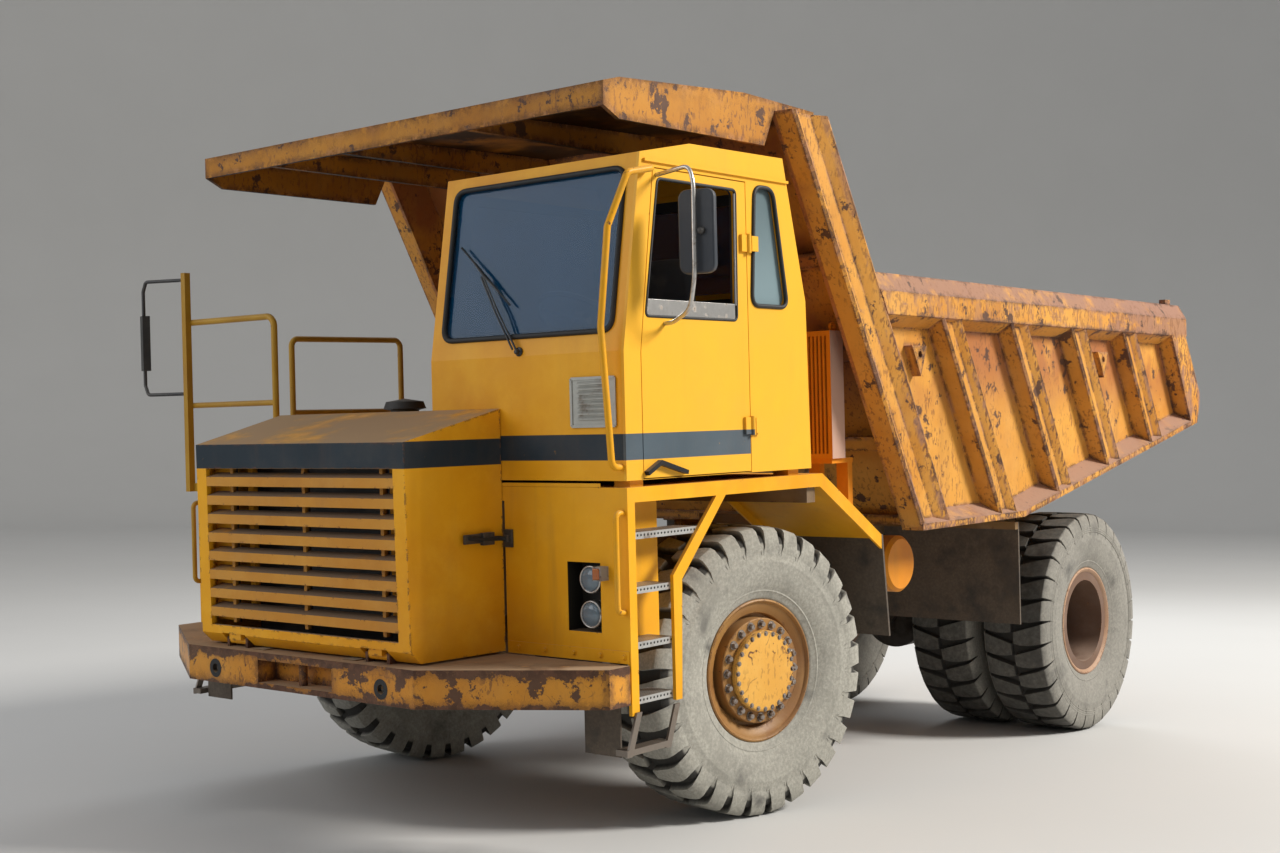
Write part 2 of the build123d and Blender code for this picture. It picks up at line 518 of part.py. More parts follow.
with BuildPart() as cab:
    side_form(CAB_SIDE, (CAB_IN_X, CAB_OUT_X))
    side_form(CAB_INSIDE, (CAB_IN_X + CAB_WALL, CAB_OUT_X - CAB_WALL), mode=Mode.SUBTRACT)
    side_form(grown(DOOR_OUTLINE, DOOR_GAP), LEFT_WALL, mode=Mode.SUBTRACT)
    window_hole(QUARTER_WINDOW, LEFT_WALL, 55)
    window_hole(RIGHT_WINDOW, RIGHT_WALL, 60)
    lean_window(WINDSHIELD_X, WINDSHIELD_Z, (-5, CAB_WALL + 30), 60, Mode.SUBTRACT)
    block(REAR_WINDOW_X, (-80, CAB_REAR_Y + 5), REAR_WINDOW_Z, mode=Mode.SUBTRACT)
    for z in DOOR_HINGE_ZS:
        block((CAB_OUT_X - 1, CAB_OUT_X + 28), (DOOR_HINGE[1] + HINGE_PIN_R + 0.5, DOOR_HINGE[1] + 70),
              (z - 40, z + 40))
    for x in (CAB_IN_X + 90, CAB_OUT_X - 90):
        for y in (FACE_Y + 120, CAB_REAR_Y - 120):
            block((x - 50, x + 50), (y - 50, y + 50), (DECK_TOP_Z, CAB_FLOOR_Z + 1))

ROOF_SIDE = [(-1279, GUTTER_Z), CAB_TOP_FRONT, ROOF_PEAK, ROOF_REAR, CAB_GUTTER_REAR]
ROOF_INSIDE = [(-1279 + CAB_WALL, GUTTER_Z - 1), (-1225, 3655), (ROOF_PEAK[0], ROOF_PEAK[1] - 40),
               (ROOF_REAR[0] - 45, ROOF_REAR[1] - 40), (CAB_GUTTER_REAR[0] - CAB_WALL, GUTTER_Z - 1)]

with BuildPart() as cab_roof:
    side_form(ROOF_SIDE, (CAB_IN_X, CAB_OUT_X))
    side_form(ROOF_INSIDE, (CAB_IN_X + CAB_WALL, CAB_OUT_X - CAB_WALL), mode=Mode.SUBTRACT)
    block((CAB_IN_X, CAB_OUT_X + 14), (-1250, -23), (GUTTER_Z, GUTTER_Z + 14))
    block((CAB_IN_X + CAB_WALL, CAB_OUT_X - CAB_WALL), (-1234, -68), (GUTTER_Z - 1, GUTTER_Z + 15),
          mode=Mode.SUBTRACT)

with BuildPart() as cab_glass:
    lean_window(WINDSHIELD_X, WINDSHIELD_Z, (12, 12 + GLASS_T), 60, Mode.ADD)
    window_hole(QUARTER_WINDOW, (CAB_OUT_X - 20 - GLASS_T, CAB_OUT_X - 20), 55, Mode.ADD)
    window_hole(RIGHT_WINDOW, (CAB_IN_X + 18, CAB_IN_X + 18 + GLASS_T), 60, Mode.ADD)
    side_form([(CAB_REAR_KNEE[0] - 20 - 17, REAR_WINDOW_Z[0]), (CAB_REAR_KNEE[0] - 28 - 17, REAR_WINDOW_Z[0]),
               (-27, REAR_WINDOW_Z[1]), (-19, REAR_WINDOW_Z[1])], REAR_WINDOW_X)

with BuildPart() as door:
    side_form(DOOR_OUTLINE, (CAB_OUT_X - DOOR_T, CAB_OUT_X))
    window_hole(DOOR_WINDOW, (CAB_OUT_X - DOOR_T - 1, CAB_OUT_X + 1), 35)
    for z in DOOR_HINGE_ZS:
        block((CAB_OUT_X, CAB_OUT_X + 16), (DOOR_HINGE[1] - 60, DOOR_HINGE[1]), (z - 45, z + 45))
        with Locations((*DOOR_HINGE, z)):
            Cylinder(HINGE_PIN_R, 100)
    side_form([(-1290, 2104), (-1193, 2152), (-985, 2098), (-979, 2118), (-1190, 2176), (-1299, 2124)],
              (CAB_OUT_X - 1, CAB_OUT_X + 30))

with BuildPart() as door_glass:
    window_hole(DOOR_WINDOW, (CAB_OUT_X - 24, CAB_OUT_X - 24 + GLASS_T), 35, Mode.ADD)
    block((CAB_OUT_X - 30, CAB_OUT_X), (DOOR_FRONT_Y, DOOR_REAR_Y), (SILL_Z - 1, SILL_Z + 90),
          mode=Mode.INTERSECT)

# Inside the cab
SEAT_X = 1130
SEAT_Y = -620
CABIN_FLOOR_Z = CAB_FLOOR_Z + CAB_WALL

with BuildPart() as seat:
    block((SEAT_X - 170, SEAT_X + 170), (SEAT_Y - 180, SEAT_Y + 180), (CABIN_FLOOR_Z, CABIN_FLOOR_Z + 380))
    block((SEAT_X - 250, SEAT_X + 250), (SEAT_Y - 260, SEAT_Y + 240), (CABIN_FLOOR_Z + 380, CABIN_FLOOR_Z + 500))
    side_form([(SEAT_Y + 160, CABIN_FLOOR_Z + 500), (SEAT_Y + 260, CABIN_FLOOR_Z + 500),
               (SEAT_Y + 330, CABIN_FLOOR_Z + 1130), (SEAT_Y + 250, CABIN_FLOOR_Z + 1130)],
              (SEAT_X - 230, SEAT_X + 230))

DASH_TOP_Z = 2790
WHEEL_TILT_DEG = 35
STEERING_Y = -1060
STEERING_Z = 2900

with BuildPart() as dashboard:
    side_form([(FACE_Y + CAB_WALL, 2300), (FACE_Y + CAB_WALL, CREASE_Z),
               (lean_y(DASH_TOP_Z) + CAB_WALL, DASH_TOP_Z), (-1300, DASH_TOP_Z), (-1190, 2720), (-1190, 2560), (-1280, 2300)],
              (CAB_IN_X + CAB_WALL, CAB_OUT_X - CAB_WALL))
    column_foot = Vector(SEAT_X, -1230, 2640)
    column_head = Vector(SEAT_X, STEERING_Y, STEERING_Z)
    with BuildSketch(Plane(origin=column_foot, z_dir=column_head - column_foot)):
        Circle(28)
    extrude(amount=(column_head - column_foot).length)
    wheel_plane = Plane(origin=column_head, x_dir=(1, 0, 0), z_dir=column_head - column_foot)
    wheel_axis = Axis(column_head, wheel_plane.z_dir)
    with BuildSketch(Plane(origin=column_head, x_dir=(1, 0, 0), z_dir=-wheel_plane.y_dir)) as grip:
        with Locations((235, 0)):
            RegularPolygon(17, 6)
    revolve(grip.sketch, axis=wheel_axis)
    with Locations(wheel_plane.location):
        Cylinder(55, 40)
        for angle in (90, 210, 330):
            with Locations(Location((118 * cos(radians(angle)), 118 * sin(radians(angle)), 0), (0, 0, angle))):
                Box(240, 30, 14)

# Mirrors, grab bars, rails and wiper
TUBE_R = 17
RAIL_TUBE_R = 19
MIRROR_ARM_R = 11
MIRROR_ROOT_X = CAB_OUT_X + 49
MIRROR_LEFT_X = CAB_OUT_X + 244
LOOP_X = -BODY_HALF_W - 329
POST_X = (-BODY_HALF_W - 34, -BODY_HALF_W + 6)
RAIL_X = BODY_HALF_W - 31
DECK_RAIL_IN_X = -985

with BuildPart() as mirror_left:
    tube_path([(CAB_OUT_X, -1150, 3580), (MIRROR_ROOT_X, -1150, 3580), (MIRROR_LEFT_X - 40, -1130, 3600),
               (MIRROR_LEFT_X, -1110, 3520), (MIRROR_LEFT_X, -1110, 3080), (MIRROR_LEFT_X - 50, -1170, 2900),
               (MIRROR_ROOT_X, -1200, 2845), (CAB_OUT_X, -1200, 2845)], 25, MIRROR_ARM_R)
    with Locations(Location((MIRROR_LEFT_X, -1136, 3280), (0, 0, 12))):
        Box(200, 46, 400)

with BuildPart() as mirror_right:
    tube_path([(POST_X[0], -1470, 3300), (POST_X[0] - 40, -1470, 3300), (LOOP_X + 30, -1560, 3300),
               (LOOP_X, -1560, 3240), (LOOP_X, -1560, 2660), (LOOP_X + 30, -1560, 2600),
               (POST_X[0] - 40, -1470, 2600), (POST_X[0], -1470, 2600)], 25, MIRROR_ARM_R)
    with Locations(Location((LOOP_X + 12, -1560, 2920), (0, 0, -20))):
        Box(60, 46, 340)

with BuildPart() as handrails:
    block(POST_X, (FACE_Y - 60, FACE_Y - 20), (2000, 3340))
    block((POST_X[0], -RAIL_X + 10), (FACE_Y - 30, FACE_Y), (2000, 2050))
    tube_path([(POST_X[0] + 20, -1440, 3035), (DECK_RAIL_IN_X, -1395, 3035), (DECK_RAIL_IN_X, -1395, DECK_TOP_Z)],
              60, RAIL_TUBE_R)
    tube_path([(POST_X[0] + 20, -1440, 2527), (DECK_RAIL_IN_X, -1395, 2527)], 0, RAIL_TUBE_R - 2)
    tube_path([(-RAIL_X, -705, DECK_TOP_Z), (-RAIL_X, -705, 2950), (-RAIL_X, 230, 2960), (-RAIL_X, 230, DECK_TOP_Z)],
              50, RAIL_TUBE_R)
    tube_path([(-RAIL_X, -705, 2474), (-RAIL_X, 230, 2474)], 0, RAIL_TUBE_R - 2)
    tube_path([(CAB_OUT_X, -1240, 3600), (CAB_OUT_X + 59, -1240, 3600), (CAB_OUT_X + 59, -1440, 3560),
               (CAB_OUT_X - 6, -1520, 3300), (CAB_OUT_X - 81, -1500, 2830), (CAB_OUT_X - 41, -1500, 2300),
               (CAB_OUT_X - 31, -1500, 2150), (CAB_OUT_X - 31, FACE_Y, 2150)], 35, TUBE_R)
    for _, side in SIDES:
        grab_x = side * (BODY_HALF_W - 29)
        tube_path([(grab_x, FACE_Y, 1930), (grab_x, FACE_Y - 55, 1930), (grab_x, FACE_Y - 55, 1450),
                   (grab_x, FACE_Y, 1450)], 30, 14)

with BuildPart() as wiper:
    with Locations(Location((1030, FACE_Y - 15, 2738), (90, 0, 0))):
        Cylinder(18, 32)
    tube_path([(1030, FACE_Y - 28, 2738), (900, -1440, 2950), (770, -1395, 3200)], 60, 7)

# On the decks behind: air cleaner, oil cooler, battery box and tanks
AIR_CLEANER = (-1080, -300)

with BuildPart() as air_cleaner:
    with BuildSketch(Plane.XZ.offset(-AIR_CLEANER[1])):
        with BuildLine():
            Polyline((AIR_CLEANER[0], DECK_TOP_Z), (AIR_CLEANER[0] + 150, DECK_TOP_Z),
                     (AIR_CLEANER[0] + 150, 2400), (AIR_CLEANER[0] + 90, 2430), (AIR_CLEANER[0] + 90, 2470),
                     (AIR_CLEANER[0] + 137, 2480), (AIR_CLEANER[0] + 120, 2525), (AIR_CLEANER[0], 2545),
                     close=True)
        make_face()
    revolve(axis=Axis((AIR_CLEANER[0], AIR_CLEANER[1], 0), (0, 0, 1)), revolution_arc=360)

COOLER_X = (1195, 1485)
COOLER_Y = (752, 890)
COOLER_Z = (2115, 2875)

with BuildPart() as oil_cooler:
    block(COOLER_X, COOLER_Y, COOLER_Z)
    for index in range(9):
        x = COOLER_X[0] + 22 + index * 28
        block((x, x + 14), (COOLER_Y[0] - 1, COOLER_Y[0] + 45), (COOLER_Z[0] + 30, COOLER_Z[1] - 30),
              mode=Mode.SUBTRACT)
    block((COOLER_X[0] + 20, COOLER_X[1] - 20), (COOLER_Y[0] + 20, 1000), (2085, COOLER_Z[0]))
    block((1180, 1260), (950, 1000), (1760, 2115))
    block((1380, 1460), (950, 1000), (1760, 2115))
    with Locations(Location((COOLER_X[1] - 30, COOLER_Y[0] + 70, COOLER_Z[1] + 24), (0, 90, 0))):
        Cylinder(28, 16)
        Cylinder(15, 18, mode=Mode.SUBTRACT)

with BuildPart() as battery_box:
    block((620, 1140), (952, 1148), (1760, 2040))
    block((610, 1150), (942, 1158), (2040, 2062))

TANK_R = 180
TANK_YZ = (1660, 1412)
TANK_X = (RAIL_OUT_X, 1390)

with BuildPart() as tanks:
    for _, side in SIDES:
        bar_x(*TANK_YZ, TANK_R, (side * TANK_X[0], side * TANK_X[1]))
    chamfer(tanks.edges().filter_by(GeomType.CIRCLE), 22)

FLAP_T = 16
with BuildPart() as rubber_flaps:
    for _, side in SIDES:
        block((side * REAR_FLAP_X[0], side * REAR_FLAP_X[1]), (REAR_FLAP_Y, REAR_FLAP_Y + FLAP_T), (890, 1600))
        flap_y = SLOPE_END[0] + SEAT_GAP
        side_form([(flap_y, 1664), (flap_y + FLAP_T, 1664), (935 + FLAP_T, 1060), (935, 1060)],
                  (side * 960, side * BODY_HALF_W))
        block((side * (BODY_HALF_W - 301), side * (BODY_HALF_W - 71)),
              (BUMPER_END_Y + SEAT_GAP, BUMPER_END_Y + 10.5), (745, BUMPER_TOP_Z))

# Axles, springs and steering
SPRING_X = (RAIL_IN_X + 5, RAIL_OUT_X - 5)
BEAM_H = 150
EYE_BOSS_R = 62

with BuildPart() as front_axle:
    block((-KINGPIN_X + 40, KINGPIN_X - 40), (-75, 75), (FRONT_AXLE_Z - 70, FRONT_AXLE_Z + 70))
    for _, side in SIDES:
        with Locations((side * KINGPIN_X, 0, FRONT_AXLE_Z)):
            Cylinder(EYE_BOSS_R, BEAM_H)
            Cylinder(34, 300)
        block((side * (SPRING_X[0] - 20), side * (SPRING_X[1] + 20)), (-130, 130),
              (FRONT_AXLE_Z + 60, FRONT_AXLE_Z + 95))

with BuildPart() as springs:
    for _, side in SIDES:
        x_span = (side * SPRING_X[0], side * SPRING_X[1])
        for count, half in enumerate((620, 520, 420, 320)):
            z = FRONT_AXLE_Z + 95 + (3 - count) * 17
            block(x_span, (-half, half), (z, z + 17))
        for y in (-600, 600):
            block(x_span, (y - 30, y + 30), (FRONT_AXLE_Z + 95 + 60, AXLE_ARCH_Z))
        for count, half in enumerate((640, 520, 400)):
            z = REAR_AXLE_Z + 175 + (2 - count) * 22
            block(x_span, (WHEELBASE - half, WHEELBASE + half), (z, z + 22))
        for y in (WHEELBASE - 600, WHEELBASE + 600):
            block(x_span, (y - 40, y + 40), (REAR_AXLE_Z + 235, RAIL_BOTTOM_Z))

# The differential housing as (distance behind the axle, radius)
AXLE_HOUSING = ((-290, 0), (-290, 150), (-150, 285), (130, 285), (220, 190), (250, 0))

with BuildPart() as rear_axle:
    bar_x(WHEELBASE, REAR_AXLE_Z, 135, (-560, 560))
    bar_x(WHEELBASE, REAR_AXLE_Z, REAR_SPINDLE_R, (-1180, 1180))
    with BuildSketch(Plane.XY.offset(REAR_AXLE_Z)) as housing:
        with BuildLine():
            Polyline(*[(radius, WHEELBASE + y) for y, radius in AXLE_HOUSING], close=True)
        make_face()
    revolve(housing.sketch, axis=Axis((0, WHEELBASE, REAR_AXLE_Z), (0, 1, 0)))
    with Locations(Location((0, WHEELBASE - 290, REAR_AXLE_Z + 22), (90, 0, 0))):
        Cylinder(130, 100)
    for _, side in SIDES:
        block((side * (SPRING_X[0] - 20), side * (SPRING_X[1] + 20)), (WHEELBASE - 130, WHEELBASE + 130),
              (REAR_AXLE_Z + 100, REAR_AXLE_Z + 175))

ARM_BACK_Y = 330
ARM_IN_X = 110
TIE_Z = FRONT_AXLE_Z - 125
STEER_AXIS = {1: Axis((KINGPIN_X, 0, 0), (0, 0, 1)), -1: Axis((-KINGPIN_X, 0, 0), (0, 0, 1))}


def steered(piece, side):
    """Turn a front wheel piece about its kingpin by the angle at which the truck was parked."""
    return piece.rotate(STEER_AXIS[side], -STEER_REST_DEG)


knuckles = {}
for name, side in SIDES:
    with BuildPart() as knuckle:
        for z in (FRONT_AXLE_Z - 108, FRONT_AXLE_Z + 108):
            with Locations((side * KINGPIN_X, 0, z)):
                Cylinder(EYE_BOSS_R, 56)
                Cylinder(34 + PIN_CLEAR, 60, mode=Mode.SUBTRACT)
            block((side * (KINGPIN_X + 36), side * (KINGPIN_X + 105)), (-60, 60), (z - 28, z + 28))
        block((side * (KINGPIN_X + 70), side * (KINGPIN_X + 105)), (-70, 70),
              (FRONT_AXLE_Z - 136, FRONT_AXLE_Z + 136))
        bar_x(0, FRONT_AXLE_Z, SPINDLE_R, (side * (KINGPIN_X + 90), side * (FRONT_WHEEL_X + 90)))
        with BuildSketch(Plane.XY.offset(TIE_Z - 15)):
            with BuildLine():
                Polyline((side * (KINGPIN_X - 45), 40), (side * (KINGPIN_X - ARM_IN_X - 30), ARM_BACK_Y - 25),
                         (side * (KINGPIN_X - ARM_IN_X - 30), ARM_BACK_Y + 30),
                         (side * (KINGPIN_X - ARM_IN_X + 30), ARM_BACK_Y + 30), (side * (KINGPIN_X + 45), 50),
                         close=True)
            make_face()
        extrude(amount=30)
    knuckle.part = steered(knuckle.part, side)
    knuckles[name] = knuckle

TIE_HALF = KINGPIN_X - ARM_IN_X


def arm_end(side):
    """Where a steering arm's eye stands with the wheels parked."""
    eye = Vector(-side * ARM_IN_X, ARM_BACK_Y, 0).rotate(Axis.Z, -STEER_REST_DEG)
    return Vector(side * KINGPIN_X, 0, TIE_Z) + eye


with BuildPart() as tie_rod:
    left_eye = arm_end(1) + Vector(0, 0, -48)
    right_eye = arm_end(-1) + Vector(0, 0, -48)
    with BuildSketch(Plane(origin=right_eye, z_dir=left_eye - right_eye)):
        Circle(24)
    extrude(amount=(left_eye - right_eye).length)
    for eye in (left_eye, right_eye):
        with Locations(eye + Vector(0, 0, 3 - SEAT_GAP)):
            Cylinder(38, 60)

# Wheels
GROOVE_R = TYRE_R - LUG_H
BEAD_X = RIM_W / 2 - FLANGE_TIP_T - 0.5
BEAD_SEAT_X = RIM_W / 2 - FLANGE_T - 0.5
# One side of the tyre's section as (distance from the tyre's middle, radius), from the tread to the seat on the rim
TYRE_SECTION = ((TREAD_W / 2, GROOVE_R), (TYRE_W / 2, 600), (BEAD_X, RIM_FLANGE_R + 1),
                (BEAD_SEAT_X, RIM_SEAT_R))
LUG_TAPER = 14
LUG_ANGLE = 360 / LUG_COUNT

with BuildPart() as tyre_sector:
    with BuildSketch(Plane.XZ) as section:
        with BuildLine():
            Polyline(*TYRE_SECTION, *[(-x, radius) for x, radius in reversed(TYRE_SECTION)], close=True)
        make_face()
    extrude(section.sketch, amount=LUG_W, both=True)
    with BuildSketch(Plane.YZ.offset(-TYRE_W / 2)) as wedge:
        with BuildLine():
            half_width = TYRE_R * tan(radians(LUG_ANGLE / 2))
            Polyline((0, 0), (half_width, TYRE_R), (-half_width, TYRE_R), close=True)
        make_face()
    extrude(wedge.sketch, amount=TYRE_W, mode=Mode.INTERSECT)
    with BuildSketch(Plane.XZ) as lug:
        with BuildLine():
            Polyline((-TREAD_W / 2, GROOVE_R), (-TREAD_W / 2 + LUG_TAPER, TYRE_R),
                     (TREAD_W / 2 - LUG_TAPER, TYRE_R), (TREAD_W / 2, GROOVE_R), close=True)
        make_face()
    extrude(lug.sketch, amount=LUG_W / 2, both=True)

with BuildPart() as tyre:
    add([tyre_sector.part.rotate(Axis.X, LUG_ANGLE * index) for index in range(LUG_COUNT)])


def rim(center_x):
    """One rim: two flanges and the base between them."""
    seat = RIM_SEAT_R - 0.3
    half = RIM_W / 2
    with BuildSketch(Plane.XY) as section:
        with BuildLine():
            Polyline((center_x - half, RIM_FLANGE_R), (center_x - half, seat - 22), (center_x + half, seat - 22),
                     (center_x + half, RIM_FLANGE_R), (center_x + half - FLANGE_TIP_T, RIM_FLANGE_R),
                     (center_x + half - FLANGE_T, seat), (center_x - half + FLANGE_T, seat),
                     (center_x - half + FLANGE_TIP_T, RIM_FLANGE_R), close=True)
        make_face()
    revolve(section.sketch, axis=Axis.X, revolution_arc=360)


def ring_x(r_in, r_out, x_span):
    """A flat ring or a tube around the wheel's axis."""
    with BuildSketch(Plane.YZ.offset(x_span[0])) as section:
        Circle(r_out)
        if r_in:
            Circle(r_in, mode=Mode.SUBTRACT)
    extrude(section.sketch, amount=x_span[1] - x_span[0])


front_tyres = {}
front_rims = {}
rear_tyres = {}
rear_rims = {}
for name, side in SIDES:
    with BuildPart() as tyre_part:
        add(steered(tyre.part.moved(Location((side * FRONT_WHEEL_X, 0, FRONT_AXLE_Z), (-RAKE_DEG, 0, 0))), side))
    front_tyres[name] = tyre_part
    with BuildPart() as rim_part:
        rim(side * FRONT_WHEEL_X)
        ring_x(230, RIM_SEAT_R - 10, (side * (FRONT_WHEEL_X + 95), side * (FRONT_WHEEL_X + 120)))
        ring_x(SPINDLE_R + PIN_CLEAR, 262, (side * (FRONT_WHEEL_X - 30), side * (FRONT_WHEEL_X + 105)))
        ring_x(0, 290, (side * (FRONT_WHEEL_X + 105), side * (FRONT_WHEEL_X + 205)))
        ring_x(0, 222, (side * (FRONT_WHEEL_X + 205), side * (FRONT_WHEEL_X + 245)))
    rim_part.part = steered(rim_part.part.moved(Location((0, 0, FRONT_AXLE_Z))), side)
    front_rims[name] = rim_part
    with BuildPart() as tyre_pair:
        for x in (REAR_INNER_X, REAR_OUTER_X):
            add(tyre.part.moved(Location((side * x, WHEELBASE, REAR_AXLE_Z), (-RAKE_DEG, 0, 0))))
    rear_tyres[name] = tyre_pair
    with BuildPart() as rim_pair:
        rim(side * REAR_OUTER_X)
        rim(side * REAR_INNER_X)
        ring_x(RIM_SEAT_R - 32, RIM_SEAT_R - 8, (side * (REAR_INNER_X + 150), side * (REAR_OUTER_X - 150)))
        ring_x(REAR_SPINDLE_R + PIN_CLEAR, RIM_SEAT_R - 10, (side * 1010, side * 1050))
        ring_x(REAR_SPINDLE_R + PIN_CLEAR, 235, (side * 860, side * 1190))
        ring_x(0, 235, (side * 1190, side * 1240))
        ring_x(0, 150, (side * 1240, side * 1290))
    rim_pair.part = rim_pair.part.moved(Location((0, WHEELBASE, REAR_AXLE_Z)))
    rear_rims[name] = rim_pair

# Dump body
FLOOR_RISE = (LEDGE_REAR[1] - LEDGE_KNEE[1]) / (LEDGE_REAR[0] - LEDGE_KNEE[0])
FLOOR_T = 60
STRINGER_X = (RAIL_IN_X - 10, RAIL_OUT_X + 10)
FRONT_WALL_T = 60


def floor_z(y):
    """The underside of the body floor at a place along the truck."""
    return LEDGE_KNEE[1] + max(0, y - LEDGE_KNEE[0]) * FLOOR_RISE


def post_y(top_y, z):
    """Where a slanted line of the front posts stands at a height."""
    return top_y + (POST_TOP_Z - z) * POST_LEAN


FLOOR_FRONT_TOP_Z = floor_z(0) + 12 + FLOOR_T

with BuildPart() as body_floor:
    side_form([(1600, floor_z(1600) + 12), (LEDGE_KNEE[0], floor_z(LEDGE_KNEE[0]) + 12),
               (LEDGE_REAR[0], floor_z(LEDGE_REAR[0]) + 12),
               (LEDGE_REAR[0], floor_z(LEDGE_REAR[0]) + 12 + FLOOR_T),
               (LEDGE_KNEE[0], floor_z(LEDGE_KNEE[0]) + 12 + FLOOR_T), (1600, floor_z(1600) + 12 + FLOOR_T)],
              (-BED_WALL_X + 0.5, BED_WALL_X - 0.5))

with BuildPart() as body_sills:
    under_floor = 12 - SEAT_GAP
    for _, side in SIDES:
        side_form([(1700, RAIL_TOP_Z + 8), (3500, RAIL_TOP_Z + 8), (BED_PIVOT[0] - 150, 1620),
                   (BED_PIVOT[0] - 90, BED_PIVOT[1] - 90), (BED_PIVOT[0] + 90, BED_PIVOT[1] - 90),
                   (BED_PIVOT[0] + 150, 1700), (5500, floor_z(5500) + under_floor),
                   (LEDGE_KNEE[0], floor_z(LEDGE_KNEE[0]) + under_floor), (1700, floor_z(1700) + under_floor)],
                  (side * (RAIL_OUT_X + 6), side * (RAIL_OUT_X + 66)))
        bar_x(*BED_PIVOT, PIVOT_PIN_R + PIN_CLEAR, (side * (RAIL_OUT_X + 5), side * (RAIL_OUT_X + 67)),
              mode=Mode.SUBTRACT)
        for offset in (-1, 1):
            ear_x = side * HOIST_X + offset * (EYE_W / 2 + 15)
            side_form([(HOIST_HEAD[0] - 110, floor_z(HOIST_HEAD[0] - 110) + under_floor),
                       (HOIST_HEAD[0] - 60, HOIST_HEAD[1] - 60), (HOIST_HEAD[0] + 60, HOIST_HEAD[1] - 60),
                       (HOIST_HEAD[0] + 110, floor_z(HOIST_HEAD[0] + 110) + under_floor)], (ear_x - 10, ear_x + 10))

# Sections of the pressed shapes on the body side: how far behind the front edge, and how far out from the wall
RIB_SECTION = ((0, -1), (6, 116), (26, 127), (50, 117), (96, 86), (168, 86), (214, 112), (240, 123),
               (264, 112), (270, -1))
POST_SECTION = ((0, -1), (8, 116), (30, 127), (62, 116), (125, 78), (240, 78), (300, 108), (344, 127), (372, 116),
                (379, -1))
WALL_OUT_X = BED_WALL_X + BED_PLATE_T
RAIL_OUTLINE_XZ = [(BED_WALL_X, -320), (WALL_OUT_X, -318), (BED_HALF_W, -252), (BED_HALF_W, -114),
                   (BED_HALF_W - 64, 0),
                   (BED_WALL_X, 0)]
LEDGE_OUTLINE_XZ = [(BED_WALL_X, 0), (BED_HALF_W, 0), (BED_HALF_W, LEDGE_LIP_H), (WALL_OUT_X, LEDGE_INNER_H),
                    (BED_WALL_X, LEDGE_INNER_H)]
LIFT_LUG_YS = (1401, 4089)
LIFT_LUG_TOP_Z = 2790
LIFT_LUG_H = 190


def run_back(section, start, end):
    """An upright (x, z) section that runs back from one (y, z) point to another."""
    with BuildSketch(Plane(origin=(0, *start), x_dir=(1, 0, 0), z_dir=(0, -1, 0))) as outline:
        with BuildLine():
            Polyline(*section, close=True)
        make_face()
    run = Vector(0, end[0] - start[0], end[1] - start[1])
    extrude(outline.sketch, amount=run.length, dir=run.normalized())


def leaning(section, top_y, top_z, foot_z, lean):
    """A pressed section on the body side that leans back from its top to its foot."""
    with BuildSketch(Plane.XY.offset(foot_z)) as outline:
        with BuildLine():
            foot_y = top_y + (top_z - foot_z) * lean
            Polyline(*[(WALL_OUT_X + out, foot_y + back) for back, out in section], close=True)
        make_face()
    rise = Vector(0, -(top_z - foot_z) * lean, top_z - foot_z)
    extrude(outline.sketch, amount=rise.length, dir=rise.normalized())


with BuildPart() as rail_and_ribs:
    run_back(RAIL_OUTLINE_XZ, (800, BED_RAIL_FRONT_Z), BED_RAIL_REAR)
    for top_y in RIB_TOP_YS:
        leaning(RIB_SECTION, top_y, RIB_TOP_Z + 40, LEDGE_FRONT[1], tan(radians(RIB_LEAN_DEG)))
    side_form([(post_y(POST_REAR_TOP_Y, 3300) - 20, 3300), (post_y(POST_REAR_TOP_Y, 1673) - 20, 1673),
               (LEDGE_KNEE[0], LEDGE_KNEE[1] + 19), (LEDGE_REAR[0], LEDGE_REAR[1] + 19), (BED_RAIL_REAR[0], 3300)],
              (BED_WALL_X, BED_HALF_W), mode=Mode.INTERSECT)

with BuildPart() as body_side_left:
    side_form([LEDGE_FRONT, LEDGE_KNEE, LEDGE_REAR, *BED_TAIL, (BED_RAIL_REAR[0], BED_RAIL_REAR[1] - 200),
               BED_RAIL_REAR,
               (post_y(POST_REAR_TOP_Y, BED_RAIL_FRONT_Z), BED_RAIL_FRONT_Z), (POST_REAR_TOP_Y, POST_TOP_Z),
               (POST_FRONT_TOP_Y, POST_TOP_Z), (post_y(POST_FRONT_TOP_Y, LEDGE_FRONT[1] + 60), LEDGE_FRONT[1] + 60)],
              (BED_WALL_X, WALL_OUT_X))
    add(rail_and_ribs.part)
    run_back(LEDGE_OUTLINE_XZ, LEDGE_FRONT, LEDGE_KNEE)
    run_back(LEDGE_OUTLINE_XZ, LEDGE_KNEE, LEDGE_REAR)
    leaning(POST_SECTION, POST_FRONT_TOP_Y, POST_TOP_Z, LEDGE_FRONT[1], POST_LEAN)
    side_form([TAIL_POST_FRONT[0], TAIL_POST_FRONT[1], LEDGE_REAR, *BED_TAIL], (WALL_OUT_X - 1, BED_HALF_W))
    for lug_y in LIFT_LUG_YS:
        side_form([(lug_y, LIFT_LUG_TOP_Z), (lug_y + 180, LIFT_LUG_TOP_Z),
                   (lug_y + 100, LIFT_LUG_TOP_Z - LIFT_LUG_H)],
                  (WALL_OUT_X - 1, WALL_OUT_X + 60))
        bar_x(lug_y + 95, LIFT_LUG_TOP_Z - 55, 22, (WALL_OUT_X + 5, WALL_OUT_X + 61), mode=Mode.SUBTRACT)
    block((BED_WALL_X, BED_WALL_X + 50), (BED_RAIL_REAR[0] - 190, BED_RAIL_REAR[0] - 90),
          (BED_RAIL_REAR[1] - 10, BED_RAIL_REAR[1] + 45))

with BuildPart() as body_side_right:
    mirror(body_side_left.part, about=Plane.YZ)

